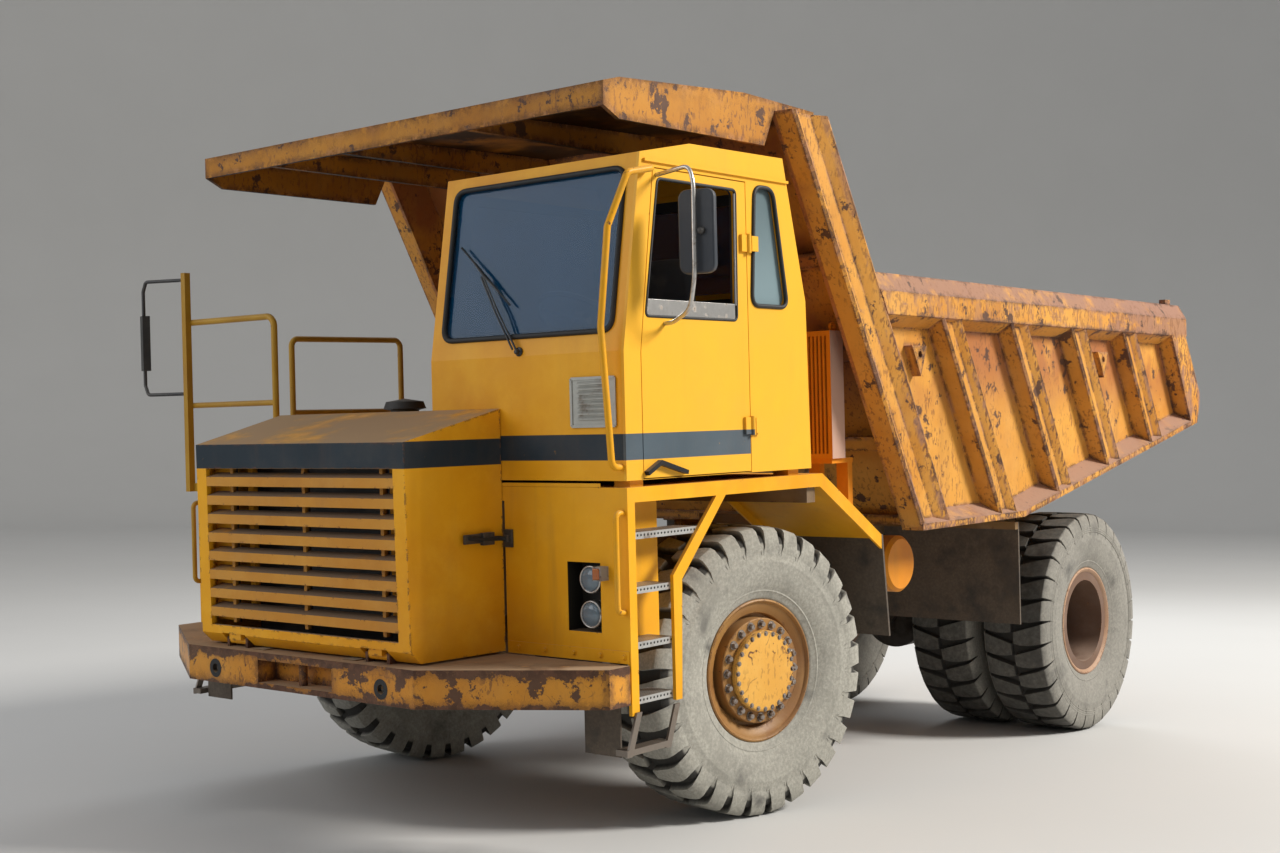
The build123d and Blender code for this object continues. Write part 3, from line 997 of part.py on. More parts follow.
with BuildPart() as body_front:
    side_form([(post_y(POST_REAR_TOP_Y - FRONT_WALL_T, POST_TOP_Z), POST_TOP_Z), (POST_REAR_TOP_Y, POST_TOP_Z),
               (post_y(POST_REAR_TOP_Y, FLOOR_FRONT_TOP_Z), FLOOR_FRONT_TOP_Z),
               (post_y(POST_REAR_TOP_Y - FRONT_WALL_T, FLOOR_FRONT_TOP_Z), FLOOR_FRONT_TOP_Z)],
              (-BED_WALL_X + 0.5, BED_WALL_X - 0.5))
    for z in (2150, 2700, 3250):
        for _, side in SIDES:
            y = post_y(POST_REAR_TOP_Y - FRONT_WALL_T, z)
            side_form([(y + 5, z), (y - 110, z), (y - 110 - 40, z + 80), (y - 40, z + 80)],
                      (side * 20, side * (BED_WALL_X - 0.5)))

CANOPY_T = 40
CANOPY_BEAM_XS = (-1060, -420, 600)
with BuildPart() as canopy:
    canopy_rear_y = POST_REAR_TOP_Y
    side_form([(CANOPY_FRONT_Y, CANOPY_TOP_Z - CANOPY_T), (CANOPY_FRONT_Y, CANOPY_TOP_Z),
               (-1274, CANOPY_TOP_Z + 32), CANOPY_RIDGE, (canopy_rear_y, POST_TOP_Z + CANOPY_T),
               (canopy_rear_y, POST_TOP_Z + SEAT_GAP), (POST_FRONT_TOP_Y, POST_TOP_Z + SEAT_GAP),
               (-1274, CANOPY_TOP_Z - 8)], (-CANOPY_HALF_W, CANOPY_HALF_W))
    block((-CANOPY_HALF_W, CANOPY_HALF_W), (CANOPY_FRONT_Y, CANOPY_FRONT_Y + 25),
          (CANOPY_LIP_Z, CANOPY_TOP_Z - 1))
    for _, side in SIDES:
        side_form([(CANOPY_FRONT_Y, CANOPY_LIP_Z), (-1281, CANOPY_SKIRT_Z), (-55, CANOPY_SKIRT_Z + 5),
                   (55, POST_TOP_Z + 10), (CANOPY_RIDGE[0], POST_TOP_Z + 10), (-1274, CANOPY_TOP_Z),
                   (CANOPY_FRONT_Y, CANOPY_TOP_Z - 2)],
                  (side * (CANOPY_HALF_W - 25), side * CANOPY_HALF_W))
    wall_front_y = POST_REAR_TOP_Y - FRONT_WALL_T - SEAT_GAP
    for x in CANOPY_BEAM_XS:
        side_form([(CANOPY_FRONT_Y + 20, CANOPY_LIP_Z + 15),
                   (post_y(wall_front_y, CANOPY_LIP_Z + 15), CANOPY_LIP_Z + 15),
                   (post_y(wall_front_y, POST_TOP_Z + 5), POST_TOP_Z + 5), (-1274, CANOPY_TOP_Z - 4),
                   (CANOPY_FRONT_Y + 20, CANOPY_TOP_Z - 20)], (x - 20, x + 20))

# Body hoist
HOIST_DIR = Vector(0, HOIST_HEAD[0] - HOIST_FOOT[0], HOIST_HEAD[1] - HOIST_FOOT[1])
HOIST_LENGTH = HOIST_DIR.length
HOIST_UNIT = HOIST_DIR.normalized()
BARREL_L = HOIST_LENGTH - 150
BARREL_FOOT = 115

with BuildPart() as hoist_barrels:
    for _, side in SIDES:
        foot = Vector(side * HOIST_X, *HOIST_FOOT)
        with BuildSketch(Plane(origin=foot, z_dir=HOIST_UNIT)):
            Circle(EYE_W / 2 - 5)
        extrude(amount=BARREL_FOOT)
        with BuildSketch(Plane(origin=foot + HOIST_UNIT * BARREL_FOOT, z_dir=HOIST_UNIT)):
            Circle(BARREL_R)
        extrude(amount=BARREL_L - BARREL_FOOT)
        with BuildSketch(Plane(origin=foot + HOIST_UNIT * (BARREL_FOOT + 20), z_dir=HOIST_UNIT)):
            Circle(ROD_R + PIN_CLEAR)
        extrude(amount=BARREL_L, mode=Mode.SUBTRACT)
        bar_x(*HOIST_FOOT, EYE_R, (side * HOIST_X - EYE_W / 2, side * HOIST_X + EYE_W / 2))
        bar_x(*HOIST_FOOT, 30 + PIN_CLEAR, (side * HOIST_X - EYE_W, side * HOIST_X + EYE_W), mode=Mode.SUBTRACT)

with BuildPart() as hoist_rods:
    for _, side in SIDES:
        foot = Vector(side * HOIST_X, *HOIST_FOOT)
        with BuildSketch(Plane(origin=foot + HOIST_UNIT * (BARREL_FOOT + 30), z_dir=HOIST_UNIT)):
            Circle(ROD_R)
        extrude(amount=HOIST_LENGTH - BARREL_FOOT - 30)
        bar_x(*HOIST_HEAD, EYE_R, (side * HOIST_X - EYE_W / 2, side * HOIST_X + EYE_W / 2))

write(frame, "frame")
write(cross_members, "cross_members")
write(bumper, "bumper")
write(nose, "nose")
write(grille, "grille")
write(radiator, "radiator")
write(engine, "engine")
write(engine_cover, "engine_cover")
write(driveline, "driveline")
write(fender_left, "fender_left")
write(fender_right, "fender_right")
write(steps, "steps")
write(lamps, "lamps")
write(cab, "cab")
write(cab_roof, "cab_roof")
write(cab_glass, "cab_glass")
write(door, "door")
write(door_glass, "door_glass")
write(seat, "seat")
write(dashboard, "dashboard")
write(mirror_left, "mirror_left")
write(mirror_right, "mirror_right")
write(handrails, "handrails")
write(wiper, "wiper")
write(air_cleaner, "air_cleaner")
write(oil_cooler, "oil_cooler")
write(battery_box, "battery_box")
write(tanks, "tanks")
write(rubber_flaps, "rubber_flaps")
write(front_axle, "front_axle")
write(springs, "springs")
write(rear_axle, "rear_axle")
for name, _ in SIDES:
    write(knuckles[name], f"knuckle_{name}")
    write(front_tyres[name], f"tyre_front_{name}")
    write(front_rims[name], f"rim_front_{name}")
    write(rear_tyres[name], f"tyres_rear_{name}")
    write(rear_rims[name], f"rims_rear_{name}")
write(tie_rod, "tie_rod")
write(body_floor, "body_floor")
write(body_sills, "body_sills")
write(body_side_left, "body_side_left")
write(body_side_right, "body_side_right")
write(body_front, "body_front")
write(canopy, "canopy")
write(hoist_barrels, "hoist_barrels")
write(hoist_rods, "hoist_rods")
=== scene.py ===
"""Looks for the quarry dump truck: worn paint, dusty tyres, glazing seals, lamps, bolts, seat and mirrors.

Metres. Pieces are drawn on the truck's level frame, as the solids were: y is 0 at the front axle and grows to the
rear, x grows to the cab's side and z is 0 on the ground under the rear wheels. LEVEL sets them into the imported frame.
"""
from math import atan2, cos, pi, radians, sin, tan

import bmesh
import bpy
from mathutils import Matrix, Vector


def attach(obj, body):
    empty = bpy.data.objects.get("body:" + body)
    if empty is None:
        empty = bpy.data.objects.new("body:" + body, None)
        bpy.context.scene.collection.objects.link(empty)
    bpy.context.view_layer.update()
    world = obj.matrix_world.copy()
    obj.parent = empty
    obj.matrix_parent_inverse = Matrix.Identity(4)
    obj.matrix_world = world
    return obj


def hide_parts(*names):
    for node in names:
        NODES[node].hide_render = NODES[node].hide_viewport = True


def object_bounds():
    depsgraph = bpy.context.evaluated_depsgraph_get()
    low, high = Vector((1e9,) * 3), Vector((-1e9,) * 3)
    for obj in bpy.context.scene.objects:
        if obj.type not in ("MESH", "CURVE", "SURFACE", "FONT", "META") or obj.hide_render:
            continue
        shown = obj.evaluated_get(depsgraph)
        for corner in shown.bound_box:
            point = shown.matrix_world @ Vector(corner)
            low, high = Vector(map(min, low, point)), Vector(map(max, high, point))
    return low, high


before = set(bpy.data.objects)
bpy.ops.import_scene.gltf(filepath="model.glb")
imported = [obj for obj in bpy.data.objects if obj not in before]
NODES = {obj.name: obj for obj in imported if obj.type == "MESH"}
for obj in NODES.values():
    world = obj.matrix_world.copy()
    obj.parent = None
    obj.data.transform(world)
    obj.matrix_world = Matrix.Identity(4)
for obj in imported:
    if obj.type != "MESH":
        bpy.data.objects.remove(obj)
CAD_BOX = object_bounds()
SCENE = bpy.context.scene

# The solid model's sizes that pieces are set against
WHEELBASE = 4.0
AXLE_Z = 0.8
RAKE = radians(2.5)
PACKED_REAR_AXLE_Y = 2.15
LEVEL = (Matrix.Translation((0, PACKED_REAR_AXLE_Y, AXLE_Z)) @ Matrix.Rotation(RAKE, 4, "X")
    @ Matrix.Translation((0, -WHEELBASE, -AXLE_Z)))
FRONT_AXLE_Z = 0.97465
FRONT_WHEEL_X = 1.324
KINGPIN_X = 1.06
STEER_REST = radians(-10)
REAR_OUTER_X = 1.36
REAR_INNER_X = 0.77
TYRE_R = 0.8
FACE_Y = -1.429
CAB_SIDE_X = 1.731
CAB_IN_X = 0.386
CREASE_Z = 2.712
LEAN = atan2(0.15, 0.928)
BUMPER_FACE_Y = -2.088
BUMPER_HOLE_X = 0.672
BUMPER_HOLE_Z = 1.083
TREAD_TOPS_Z = (1.83, 1.565, 1.297, 1.03)
SIDES = (("left", 1), ("right", -1))


def side_span(side, near, far):
    """From near to far on one side, in rising order."""
    return tuple(sorted((side * near, side * far)))


def around(middle, half):
    return middle - half, middle + half


# Materials
class Value:
    """What a node of a look puts out. Sums and products of values make nodes too."""

    def __init__(self, look, socket):
        self.look, self.socket = look, socket

    def __mul__(self, other):
        return self.look.math("MULTIPLY", self, other)

    def __add__(self, other):
        return self.look.math("ADD", self, other)

    def __sub__(self, other):
        return self.look.math("SUBTRACT", self, other)


class Look:
    """A material built node by node. Its nodes take numbers, colours and values."""

    def __init__(self, name):
        self.material = bpy.data.materials.new(name)
        self.material.use_nodes = True
        self.tree = self.material.node_tree
        self.tree.nodes.clear()
        output = self.tree.nodes.new("ShaderNodeOutputMaterial")
        self.shader = self.tree.nodes.new("ShaderNodeBsdfPrincipled")
        self.tree.links.new(self.shader.outputs["BSDF"], output.inputs["Surface"])
        self.place = self.node("TexCoord", {}, "Object")
        self.normal = self.node("NewGeometry", {}, "Normal")

    def feed(self, socket, value):
        if isinstance(value, Value):
            self.tree.links.new(value.socket, socket)
        elif socket.type == "RGBA":
            socket.default_value = (*value, 1.0)
        else:
            socket.default_value = value

    def node(self, kind, inputs, out=0, **settings):
        made = self.tree.nodes.new("ShaderNode" + kind)
        for key, value in settings.items():
            setattr(made, key, value)
        for key, value in inputs.items():
            self.feed(made.inputs[key], value)
        return Value(self, made.outputs[out])

    def finish(self, **inputs):
        """Feeds the shader's own inputs, which are named with underscores for spaces."""
        for key, value in inputs.items():
            self.feed(self.shader.inputs[key.replace("_", " ")], value)
        return self.material

    def noise(self, scale, detail=5.0, rough=0.55, stretch=(1, 1, 1), shift=0.0):
        """Noise fixed to the part. shift moves it, so that layers of one scale differ."""
        vector = self.node("Mapping", {"Vector": self.place, "Scale": stretch, "Location": (shift, shift, shift)})
        return self.node("TexNoise", {"Vector": vector, "Scale": scale, "Detail": detail, "Roughness": rough})

    def ramp(self, value, low, high, to_low=0.0, to_high=1.0):
        """A smooth step from to_low to to_high while the value goes from low to high."""
        return self.node("MapRange", {"Value": value, "From Min": low, "From Max": high, "To Min": to_low,
                "To Max": to_high}, interpolation_type="SMOOTHSTEP")

    def patches(self, low, high, scale, *noise, **more):
        """Patches of noise: 0 below low and 1 above high."""
        return self.ramp(self.noise(scale, *noise, **more), low, high)

    def math(self, operation, a, b=0.0):
        return self.node("Math", {0: a, 1: b}, operation=operation)

    def larger(self, a, b):
        return self.math("MAXIMUM", a, b)

    def mix(self, factor, a, b):
        return self.node("Mix", {0: factor, 6: a, 7: b}, data_type="RGBA", out=2)

    def part_of(self, vector, axis):
        return self.node("SeparateXYZ", {0: vector}, out=axis)

    def up(self):
        """1 where a surface faces up, -1 where it faces down."""
        return self.part_of(self.normal, 2)

    def along(self, direction):
        """How far a point lies along a direction of the level frame."""
        turned = Matrix.Rotation(RAKE, 3, "X") @ Vector(direction)
        dot = self.node("VectorMath", {0: self.place, 1: turned}, "Value", operation="DOT_PRODUCT")
        return dot - LEVEL.to_translation().dot(turned)

    def across(self):
        return self.part_of(self.place, 0)

    def back(self):
        return self.along((0, 1, 0))

    def high(self):
        return self.along((0, 0, 1))

    def within(self, value, low, high, soft=0.002):
        """1 where the value is between low and high, 0 elsewhere."""
        after_low = self.ramp(value, *around(low, soft))
        return after_low * self.ramp(value, *around(high, soft), 1.0, 0.0)

    def in_box(self, *spans):
        """1 inside a box of the level frame, 0 outside. spans are its x, y and z spans."""
        inside = 1.0
        for value, (low, high) in zip((self.across(), self.back(), self.high()), spans):
            inside = self.math("MULTIPLY", inside, self.within(value, low, high, 0.001))
        return inside

    def edges(self, radius, full):
        """Rises from 0 on flat faces to 1 along edges. full is the turn of the normal, as a cosine, that is 1."""
        rounded_normal = self.node("Bevel", {"Radius": radius}, samples=4)
        dot = self.node("VectorMath", {0: rounded_normal, 1: self.normal}, operation="DOT_PRODUCT", out="Value")
        return self.ramp(dot, 0.999, full)

    def bump(self, height, strength, distance, before=None):
        inputs = {"Strength": strength, "Distance": distance, "Height": height}
        if before is not None:
            inputs["Normal"] = before
        return self.node("Bump", inputs)


def scaled(colour, factor, added=0.0):
    return tuple(c * factor + added for c in colour)


DUST = (0.36, 0.25, 0.155)
GREY_DUST = (0.33, 0.3, 0.25)
DARK_RUST = (0.06, 0.03, 0.02)
RAW_BROWN = (0.27, 0.14, 0.095)
SOOT = (0.012, 0.009, 0.007)

# The tipping body's wall, the tops of its ribs and its rail, for its stains
BODY_WALL_X = (1.604, 1.608)
BODY_RIB_TOP_X = (1.7, 1.716)
BODY_WALL_BARE_Z = (2.25, 2.7)
BODY_RAIL_Z = (2.9, 2.96)
BODY_BACK_Y = (1.6, 5.9)


def striped(look, colour, band, on_sunlit_side):
    """Adds a stripe between two heights, ahead of its rear end, with a paler navy of painted sunlight and sheen where
    on_sunlit_side is 1.
    """
    low, high, rear = band
    stripe = look.within(look.high(), low, high)
    ahead = look.ramp(look.back(), *around(rear, 0.002), 1.0, 0.0)
    scuffs = look.ramp(look.noise(17.0, 8.0, 0.7, shift=4.0), 0.66, 0.72, 1.0, 0.55)
    navy = look.mix(look.noise(2.0, 4.0), (0.008, 0.016, 0.024), (0.024, 0.04, 0.055))
    if on_sunlit_side is not None:
        # Painted sunlight and sheen: a paler navy on the sunlit side
        sunlit_navy = look.mix(look.noise(3.0, 6.0), (0.05, 0.072, 0.09), (0.095, 0.125, 0.15))
        navy = look.mix(on_sunlit_side, navy, sunlit_navy)
    return look.mix(stripe * ahead * scuffs, colour, navy)


def bare_body(look, colour, out, high):
    """Adds the body's own bare places: patches between its ribs, and a rail that grows browner to the rear."""
    on_wall = look.ramp(out, *BODY_WALL_X, 1.0, 0.0) * look.ramp(high, *BODY_WALL_BARE_Z)
    bare_wall = on_wall * look.patches(0.38, 0.5, 1.3, 5.0, 0.5, shift=13.0)
    behind = look.ramp(look.back(), *BODY_BACK_Y, 0.0, 0.26)
    torn = look.noise(5.0, 9.0, 0.7, stretch=(1, 0.7, 1.6), shift=15.0) + behind
    on_rail = look.ramp(high, *BODY_RAIL_Z) * look.ramp(torn, 0.6, 0.72)
    colour = look.mix(on_rail * 0.8, colour, RAW_BROWN)
    return look.mix(bare_wall * 0.85, colour, (0.33, 0.115, 0.04))


def rubbed(look, colour, edge, amount, up_span):
    """Adds brown wear along folds and on what faces up."""
    along_fold = edge * look.patches(0.44, 0.56, 4.5, 8.0, 0.65, shift=17.0)
    top = look.ramp(look.up(), *up_span) * look.patches(0.3, 0.48, 4.0, 7.0, 0.6)
    return look.mix(look.larger(along_fold, top) * amount, colour, RAW_BROWN)


def flecked(look, colour, amount, rib_tops):
    """Adds fine pits. rib_tops is 1 on the tops of the body's ribs, which have more of them, or None."""
    grain = look.noise(46.0, 4.0, 0.6, stretch=(1, 1, 0.45), shift=19.0)
    where = look.ramp(look.noise(2.4, 5.0, 0.6, shift=21.0), 0.42, 0.58, 0.12, 1.0)
    if rib_tops is None:
        pits = look.ramp(grain, 0.565, 0.595)
    else:
        pits = look.ramp(grain + rib_tops * 0.045, 0.56, 0.59)
        where = look.larger(where * 0.6, rib_tops * 0.9)
    return look.mix(pits * where * amount, colour, (0.17, 0.07, 0.03))


def scraped(look, colour, edge, amount, lips):
    """Adds broad bare patches that start from edges and from lips, the heights of a lower and an upper lip."""
    start = edge * 0.1
    if lips:
        high = look.high()
        low_lip = look.ramp(high, lips[0], lips[0] + 0.035, 1.0, 0.0)
        lip = look.larger(low_lip, look.ramp(high, lips[1] - 0.055, lips[1]))
        start = start + lip * 0.15
    torn = look.noise(6.0, 9.0, 0.7, shift=23.0) + start
    bare_from = 0.64 - 0.065 * amount
    raw = look.ramp(torn, bare_from, bare_from + 0.01)
    return look.mix(raw * 0.95, colour, look.mix(look.noise(20.0), DARK_RUST, (0.1, 0.052, 0.038)))


def scratched(look, colour, amount):
    """Adds thin curved lines."""
    lines = look.math("ABSOLUTE", look.noise(5.0, 2.0, 0.5, shift=27.0) - 0.5)
    some = look.patches(0.46, 0.54, 7.0, 4.0, 0.6, shift=29.0)
    thin = look.ramp(lines, 0.003, 0.008, 1.0, 0.0) * (some * amount)
    return look.mix(thin, colour, (0.16, 0.075, 0.035))


def worn_paint(name, base, shade, wear, rust=0.0, flecks=0.0, ridges=0.0, scrapes=0.0, scratches=0.0, gloss=0.4,
        reach=0.022, fold=0.86, band=None, lips=None, boxes=(), sooty=False, body=False, sunlit_side=None, deep_shade=None,
        dirt=DUST):
    """Sun-faded paint with chips down to rust, dirt streaks and dust on what faces up.

    wear is how much there is of chips, worn edges, dust, haze and streaks. reach and fold are how far from an edge,
    and from how sharp a fold, wear starts. band is a stripe's low z, high z and rear end. lips are the heights of two
    lips. boxes are places of one colour: (colour, x span, y span, z span). body adds the tipping body's own stains.
    sunlit_side is a paler colour, painted sunlight on the side that faces the key light, and the x it starts at. deep
    is the y past which a recess gets painted shade.
    """
    chips, edge_wear, dust, haze, streaks = wear
    look = Look(name)
    colour = look.mix(look.patches(0.35, 0.65, 0.9, 4.0, 0.6), base, shade)
    on_sunlit_side = None
    # Painted sunlight: from the x in sunlit_side onward, the side that faces the key light gets a paler colour
    if sunlit_side:
        on_sunlit_side = look.ramp(look.across(), sunlit_side[1], sunlit_side[1] + 0.004)
        colour = look.mix(on_sunlit_side, colour, sunlit_side[0])
    fade = look.patches(0.4, 0.75, 5.0, 9.0, 0.65, shift=2.0)
    pale = (base[0] * 1.08, base[1] * 1.15 + 0.01, base[2] * 1.3 + 0.012)
    colour = look.mix(fade * 0.5, colour, pale)
    if band:
        colour = striped(look, colour, band, on_sunlit_side)
    runs = look.patches(0.5, 0.78, 7.0, 7.0, 0.6, stretch=(1, 1, 0.09), shift=7.0)
    colour = look.mix(runs * (0.45 * streaks), colour, (0.2, 0.095, 0.035))
    rib_tops = None
    if body:
        high = look.high()
        out = look.math("ABSOLUTE", look.across())
        rib_tops = look.ramp(out, *BODY_RIB_TOP_X) * look.ramp(high, 2.93, 2.97, 1.0, 0.6)
        colour = bare_body(look, colour, out, high)
    stains = look.patches(0.6, 0.74, 1.7, 6.0, 0.62, shift=11.0) * rust
    colour = look.mix(stains, colour, (0.25, 0.095, 0.035))
    edge = look.edges(reach, fold)
    if ridges:
        colour = rubbed(look, colour, edge, ridges, (0.2, 0.45) if body else (0.45, 0.7))
    if flecks:
        colour = flecked(look, colour, flecks, rib_tops)
    if body:
        worn_tops = rib_tops * look.patches(0.5, 0.56, 6.0, 8.0, 0.7, stretch=(1, 1, 0.5), shift=25.0)
        colour = look.mix(worn_tops * 0.75, colour, RAW_BROWN)
    if scrapes:
        colour = scraped(look, colour, edge, scrapes, lips)
    if scratches:
        colour = scratched(look, colour, scratches)
    spread = edge * (0.2 * edge_wear) + look.noise(2.6, 3.0, shift=5.0) * 0.22
    worn = look.noise(24.0, 10.0, 0.68, shift=1.0) + spread
    bare_at = 0.88 - 0.13 * chips
    halo = look.ramp(worn, bare_at - 0.03, bare_at)
    colour = look.mix(halo * 0.5, colour, (0.36, 0.15, 0.045))
    bare = look.ramp(worn, bare_at, bare_at + 0.012)
    colour = look.mix(bare, colour, look.mix(look.patches(0.45, 0.6, 16.0), DARK_RUST, (0.135, 0.062, 0.038)))
    if sooty:
        soot = look.ramp(look.up(), -0.2, -0.7) * look.patches(0.32, 0.54, 1.6, 4.0, 0.5, shift=3.0)
        colour = look.mix(soot * 0.92, colour, SOOT)
    # Painted shade: past the y in deep, inside a recess, the colour goes near-black
    if deep_shade is not None:
        colour = look.mix(look.ramp(look.back(), deep_shade, deep_shade + 0.03), colour, (0.03, 0.022, 0.017))
    for box_colour, *spans in boxes:
        colour = look.mix(look.in_box(*spans), colour, box_colour)
    settled = look.ramp(look.up(), 0.35, 0.95) * look.patches(0.22, 0.5, 3.0, 8.0, 0.6)
    film = look.patches(0.42, 0.8, 2.2, 8.0, 0.62, shift=9.0) * haze
    dusty = look.larger(settled * dust, film)
    roughness = look.ramp(look.larger(bare, dusty), 0.0, 1.0, gloss, 0.85)
    dents = look.bump(look.noise(1.8, 2.0, shift=6.0), 0.35, 0.02)
    skin = look.noise(90.0, 3.0) - bare * 1.6
    return look.finish(Base_Color=look.mix(dusty, colour, dirt), Roughness=roughness,
        Specular_IOR_Level=0.22, Normal=look.bump(skin, 0.35, 0.0015, dents))


HOLES_A_METRE = 38.0
HANGING_STEP_TOP_Z = (0.975, 0.985)


def punch_treads(look, colour):
    """Adds the ladder treads' rows of punched holes, painted near-black as the shade seen through them, and their
    teeth. Returns the colour and where the holes are.
    """
    high = look.high()
    hanging = look.ramp(high, *HANGING_STEP_TOP_Z, 1.0, 0.0)
    colour = look.mix(hanging * 0.9, colour, (0.17, 0.135, 0.105))
    run = (look.across() + look.part_of(look.place, 1)) * HOLES_A_METRE
    u = look.math("FRACT", run) - 0.5
    punched = 0.0
    for top in TREAD_TOPS_Z:
        v = (high - (top - 0.016)) * HOLES_A_METRE
        reach = look.math("SQRT", u * u + v * v)
        punched = look.larger(look.ramp(reach, 0.2, 0.27, 1.0, 0.0), punched)
    grid = look.node("TexVoronoi", {"Vector": look.place, "Scale": 60.0, "Randomness": 0.0},
        voronoi_dimensions="2D", out="Distance")
    teeth = look.ramp(look.up(), 0.6, 0.8) * grid
    colour = look.mix(look.ramp(teeth, 0.3, 0.45), colour, (0.1, 0.07, 0.05))
    # Painted shade: the holes go near-black
    return look.mix(punched, colour, (0.012, 0.011, 0.01)), punched


def worn_metal(name, base, dirt, metallic, rough, dirty, holes=False, scale=1.0):
    """Bare or cast metal with grime. holes adds the punched holes of the ladder treads, painted near-black as shade."""
    look = Look(name)
    grime = look.patches(0.6 - 0.25 * dirty, 0.78 - 0.15 * dirty, 6.0 * scale, 8.0, 0.65)
    colour = look.mix(look.noise(14.0 * scale, 6.0), base, scaled(base, 0.72))
    colour = look.mix(grime, colour, dirt)
    dusted = look.ramp(look.up(), 0.4, 1.0) * (0.5 * dirty)
    colour = look.mix(dusted, colour, GREY_DUST)
    height = look.noise(120.0 * scale, 4.0)
    if holes:
        colour, punched = punch_treads(look, colour)
        height = height - punched * 3.0
    return look.finish(Base_Color=colour, Roughness=look.ramp(grime, 0.0, 1.0, rough, 0.85), Metallic=metallic,
        Normal=look.bump(height, 0.4, 0.0012))


def dusty_rubber(name, base, dust, amount, shaded_grooves=False):
    """Rubber that dust has dried on, in blotches. grooves adds near-black painted shade where the piece's own groove
    layer marks it.
    """
    look = Look(name)
    caked = look.patches(0.62 - 0.4 * amount, 0.8 - 0.35 * amount, 3.5, 9.0, 0.62)
    speckle = look.patches(0.35, 0.7, 55.0, 6.0, 0.7, shift=3.0)
    dried = look.mix(look.noise(1.4, 5.0), dust, scaled(dust, 0.76))
    colour = look.mix(caked * (speckle * 0.35 + 0.62), base, dried)
    spots = look.noise(2.3, 9.0, 0.72, stretch=(1, 1, 0.7), shift=12.0)
    blotch = look.ramp(spots, 0.47, 0.62, 0.0, 0.45)
    colour = look.mix(blotch * amount, colour, scaled(dust, 0.42))
    if shaded_grooves:
        # Painted shade in the grooves, at the lugs' feet and on their crowns
        deep_shade = look.node("Attribute", {}, attribute_name="groove_shade", out="Fac")
        mask = look.ramp(deep_shade + look.noise(25.0, 5.0) * 0.25, 0.3, 0.8)
        colour = look.mix(mask * 0.93, colour, (0.022, 0.02, 0.018))
    cracks = look.noise(38.0, 8.0, 0.7, shift=8.0) * 1.2
    return look.finish(Base_Color=colour, Roughness=look.ramp(caked, 0.0, 1.0, 0.62, 0.95),
        Normal=look.bump(look.noise(160.0, 3.0) + cracks, 0.45, 0.0018))


def moulded(name, base, rough=0.5, dust=0.25):
    """Moulded plastic or painted small parts with a fine grain and a little dust."""
    look = Look(name)
    settled = look.ramp(look.up(), 0.2, 1.0) * look.patches(0.35, 0.65, 9.0, 6.0)
    haze = look.patches(0.4, 0.75, 4.0, 7.0, shift=2.0) * 0.5
    dusty = look.larger(settled, haze) * dust
    colour = look.mix(dusty, look.mix(look.noise(3.0), base, scaled(base, 0.7)), GREY_DUST)
    return look.finish(Base_Color=colour, Roughness=look.ramp(dusty, 0.0, 0.5, rough, 0.85),
        Normal=look.bump(look.noise(220.0, 3.0), 0.25, 0.0006))


def pane(name, film_colour, alpha, pale=None):
    """Dusty glazing: a film of one colour that lets the cab show through. pale is a painted sky reflection on the pane
    behind the door, darker towards its top.
    """
    look = Look(name)
    smear = look.patches(0.35, 0.75, 3.0, 6.0, 0.6, stretch=(1, 1, 0.4))
    colour = look.mix(smear * 0.3, film_colour, scaled(film_colour, 1.5, 0.01))
    if pale:
        # Painted sky reflection on the pane behind the door, darker towards its top
        behind_door = look.ramp(look.across(), 1.69, 1.7) * look.ramp(look.back(), -0.41, -0.4)
        sky = look.mix(look.ramp(look.high(), 3.0, 3.6), pale, scaled(pale, 0.62))
        colour = look.mix(behind_door, colour, sky)
    return look.finish(Base_Color=colour, Roughness=0.035, Alpha=alpha, Specular_IOR_Level=0.25)


def lens(name, base):
    """Pressed lamp glass with fine flutes."""
    look = Look(name)
    flutes = look.node("TexWave", {"Vector": look.place, "Scale": 55.0, "Distortion": 0.3}, out="Fac")
    colour = look.mix(look.noise(9.0, 5.0), base, scaled(base, 0.55))
    return look.finish(Base_Color=colour, Roughness=0.12, Coat_Weight=0.8, Normal=look.bump(flutes, 0.5, 0.002))


def woven(name, base):
    """Seat cloth with a visible weave and worn patches."""
    look = Look(name)
    threads = [look.node("TexWave", {"Vector": look.place, "Scale": 190.0, "Distortion": 0.4}, bands_direction=axis,
            out="Fac") for axis in "XZ"]
    weave = threads[0] * threads[1]
    worn = look.patches(0.45, 0.7, 6.0, 6.0)
    colour = look.mix(worn * 0.5, base, (0.16, 0.15, 0.14))
    colour = look.mix(weave * 0.35, colour, scaled(base, 1.8))
    return look.finish(Base_Color=colour, Roughness=0.9, Sheen_Weight=0.3, Normal=look.bump(weave, 0.5, 0.001))


CAB_YELLOW = (0.8, 0.375, 0.009)
CAB_SHADE = (0.7, 0.295, 0.006)
# The cab's side that faces the key light gets a paler yellow: painted sunlight
CAB_SUNNY_SIDE = ((0.8, 0.412, 0.028), CAB_SIDE_X - 0.019)
CAB_INNER_GREY = (0.03, 0.031, 0.033)
CAB_INNER_X = (0.405, 1.7045)

# Places of one colour: the cab's inside, the door's lever, painted shade in the lamp wells and in the bumper's bores,
# and the cooler's side
CAB_BOXES = (
    (CAB_INNER_GREY, CAB_INNER_X, (-1.395, 0.125), (2.115, 2.701)),
    (CAB_INNER_GREY, CAB_INNER_X, (-1.365, 0.11), (2.701, 3.05)),
    (CAB_INNER_GREY, CAB_INNER_X, (-1.275, -0.03), (3.05, 3.618)),
    ((0.016, 0.016, 0.017), (1.7335, 1.8), (-1.31, -0.965), (2.08, 2.19)))
# Painted shade: the lamp wells go near-black
LAMP_WELL_SHADE = [((0.02, 0.018, 0.015), side_span(side, 1.329, 1.549), (FACE_Y + 0.003, FACE_Y + 0.125),
        (1.338, 1.684)) for _, side in SIDES]
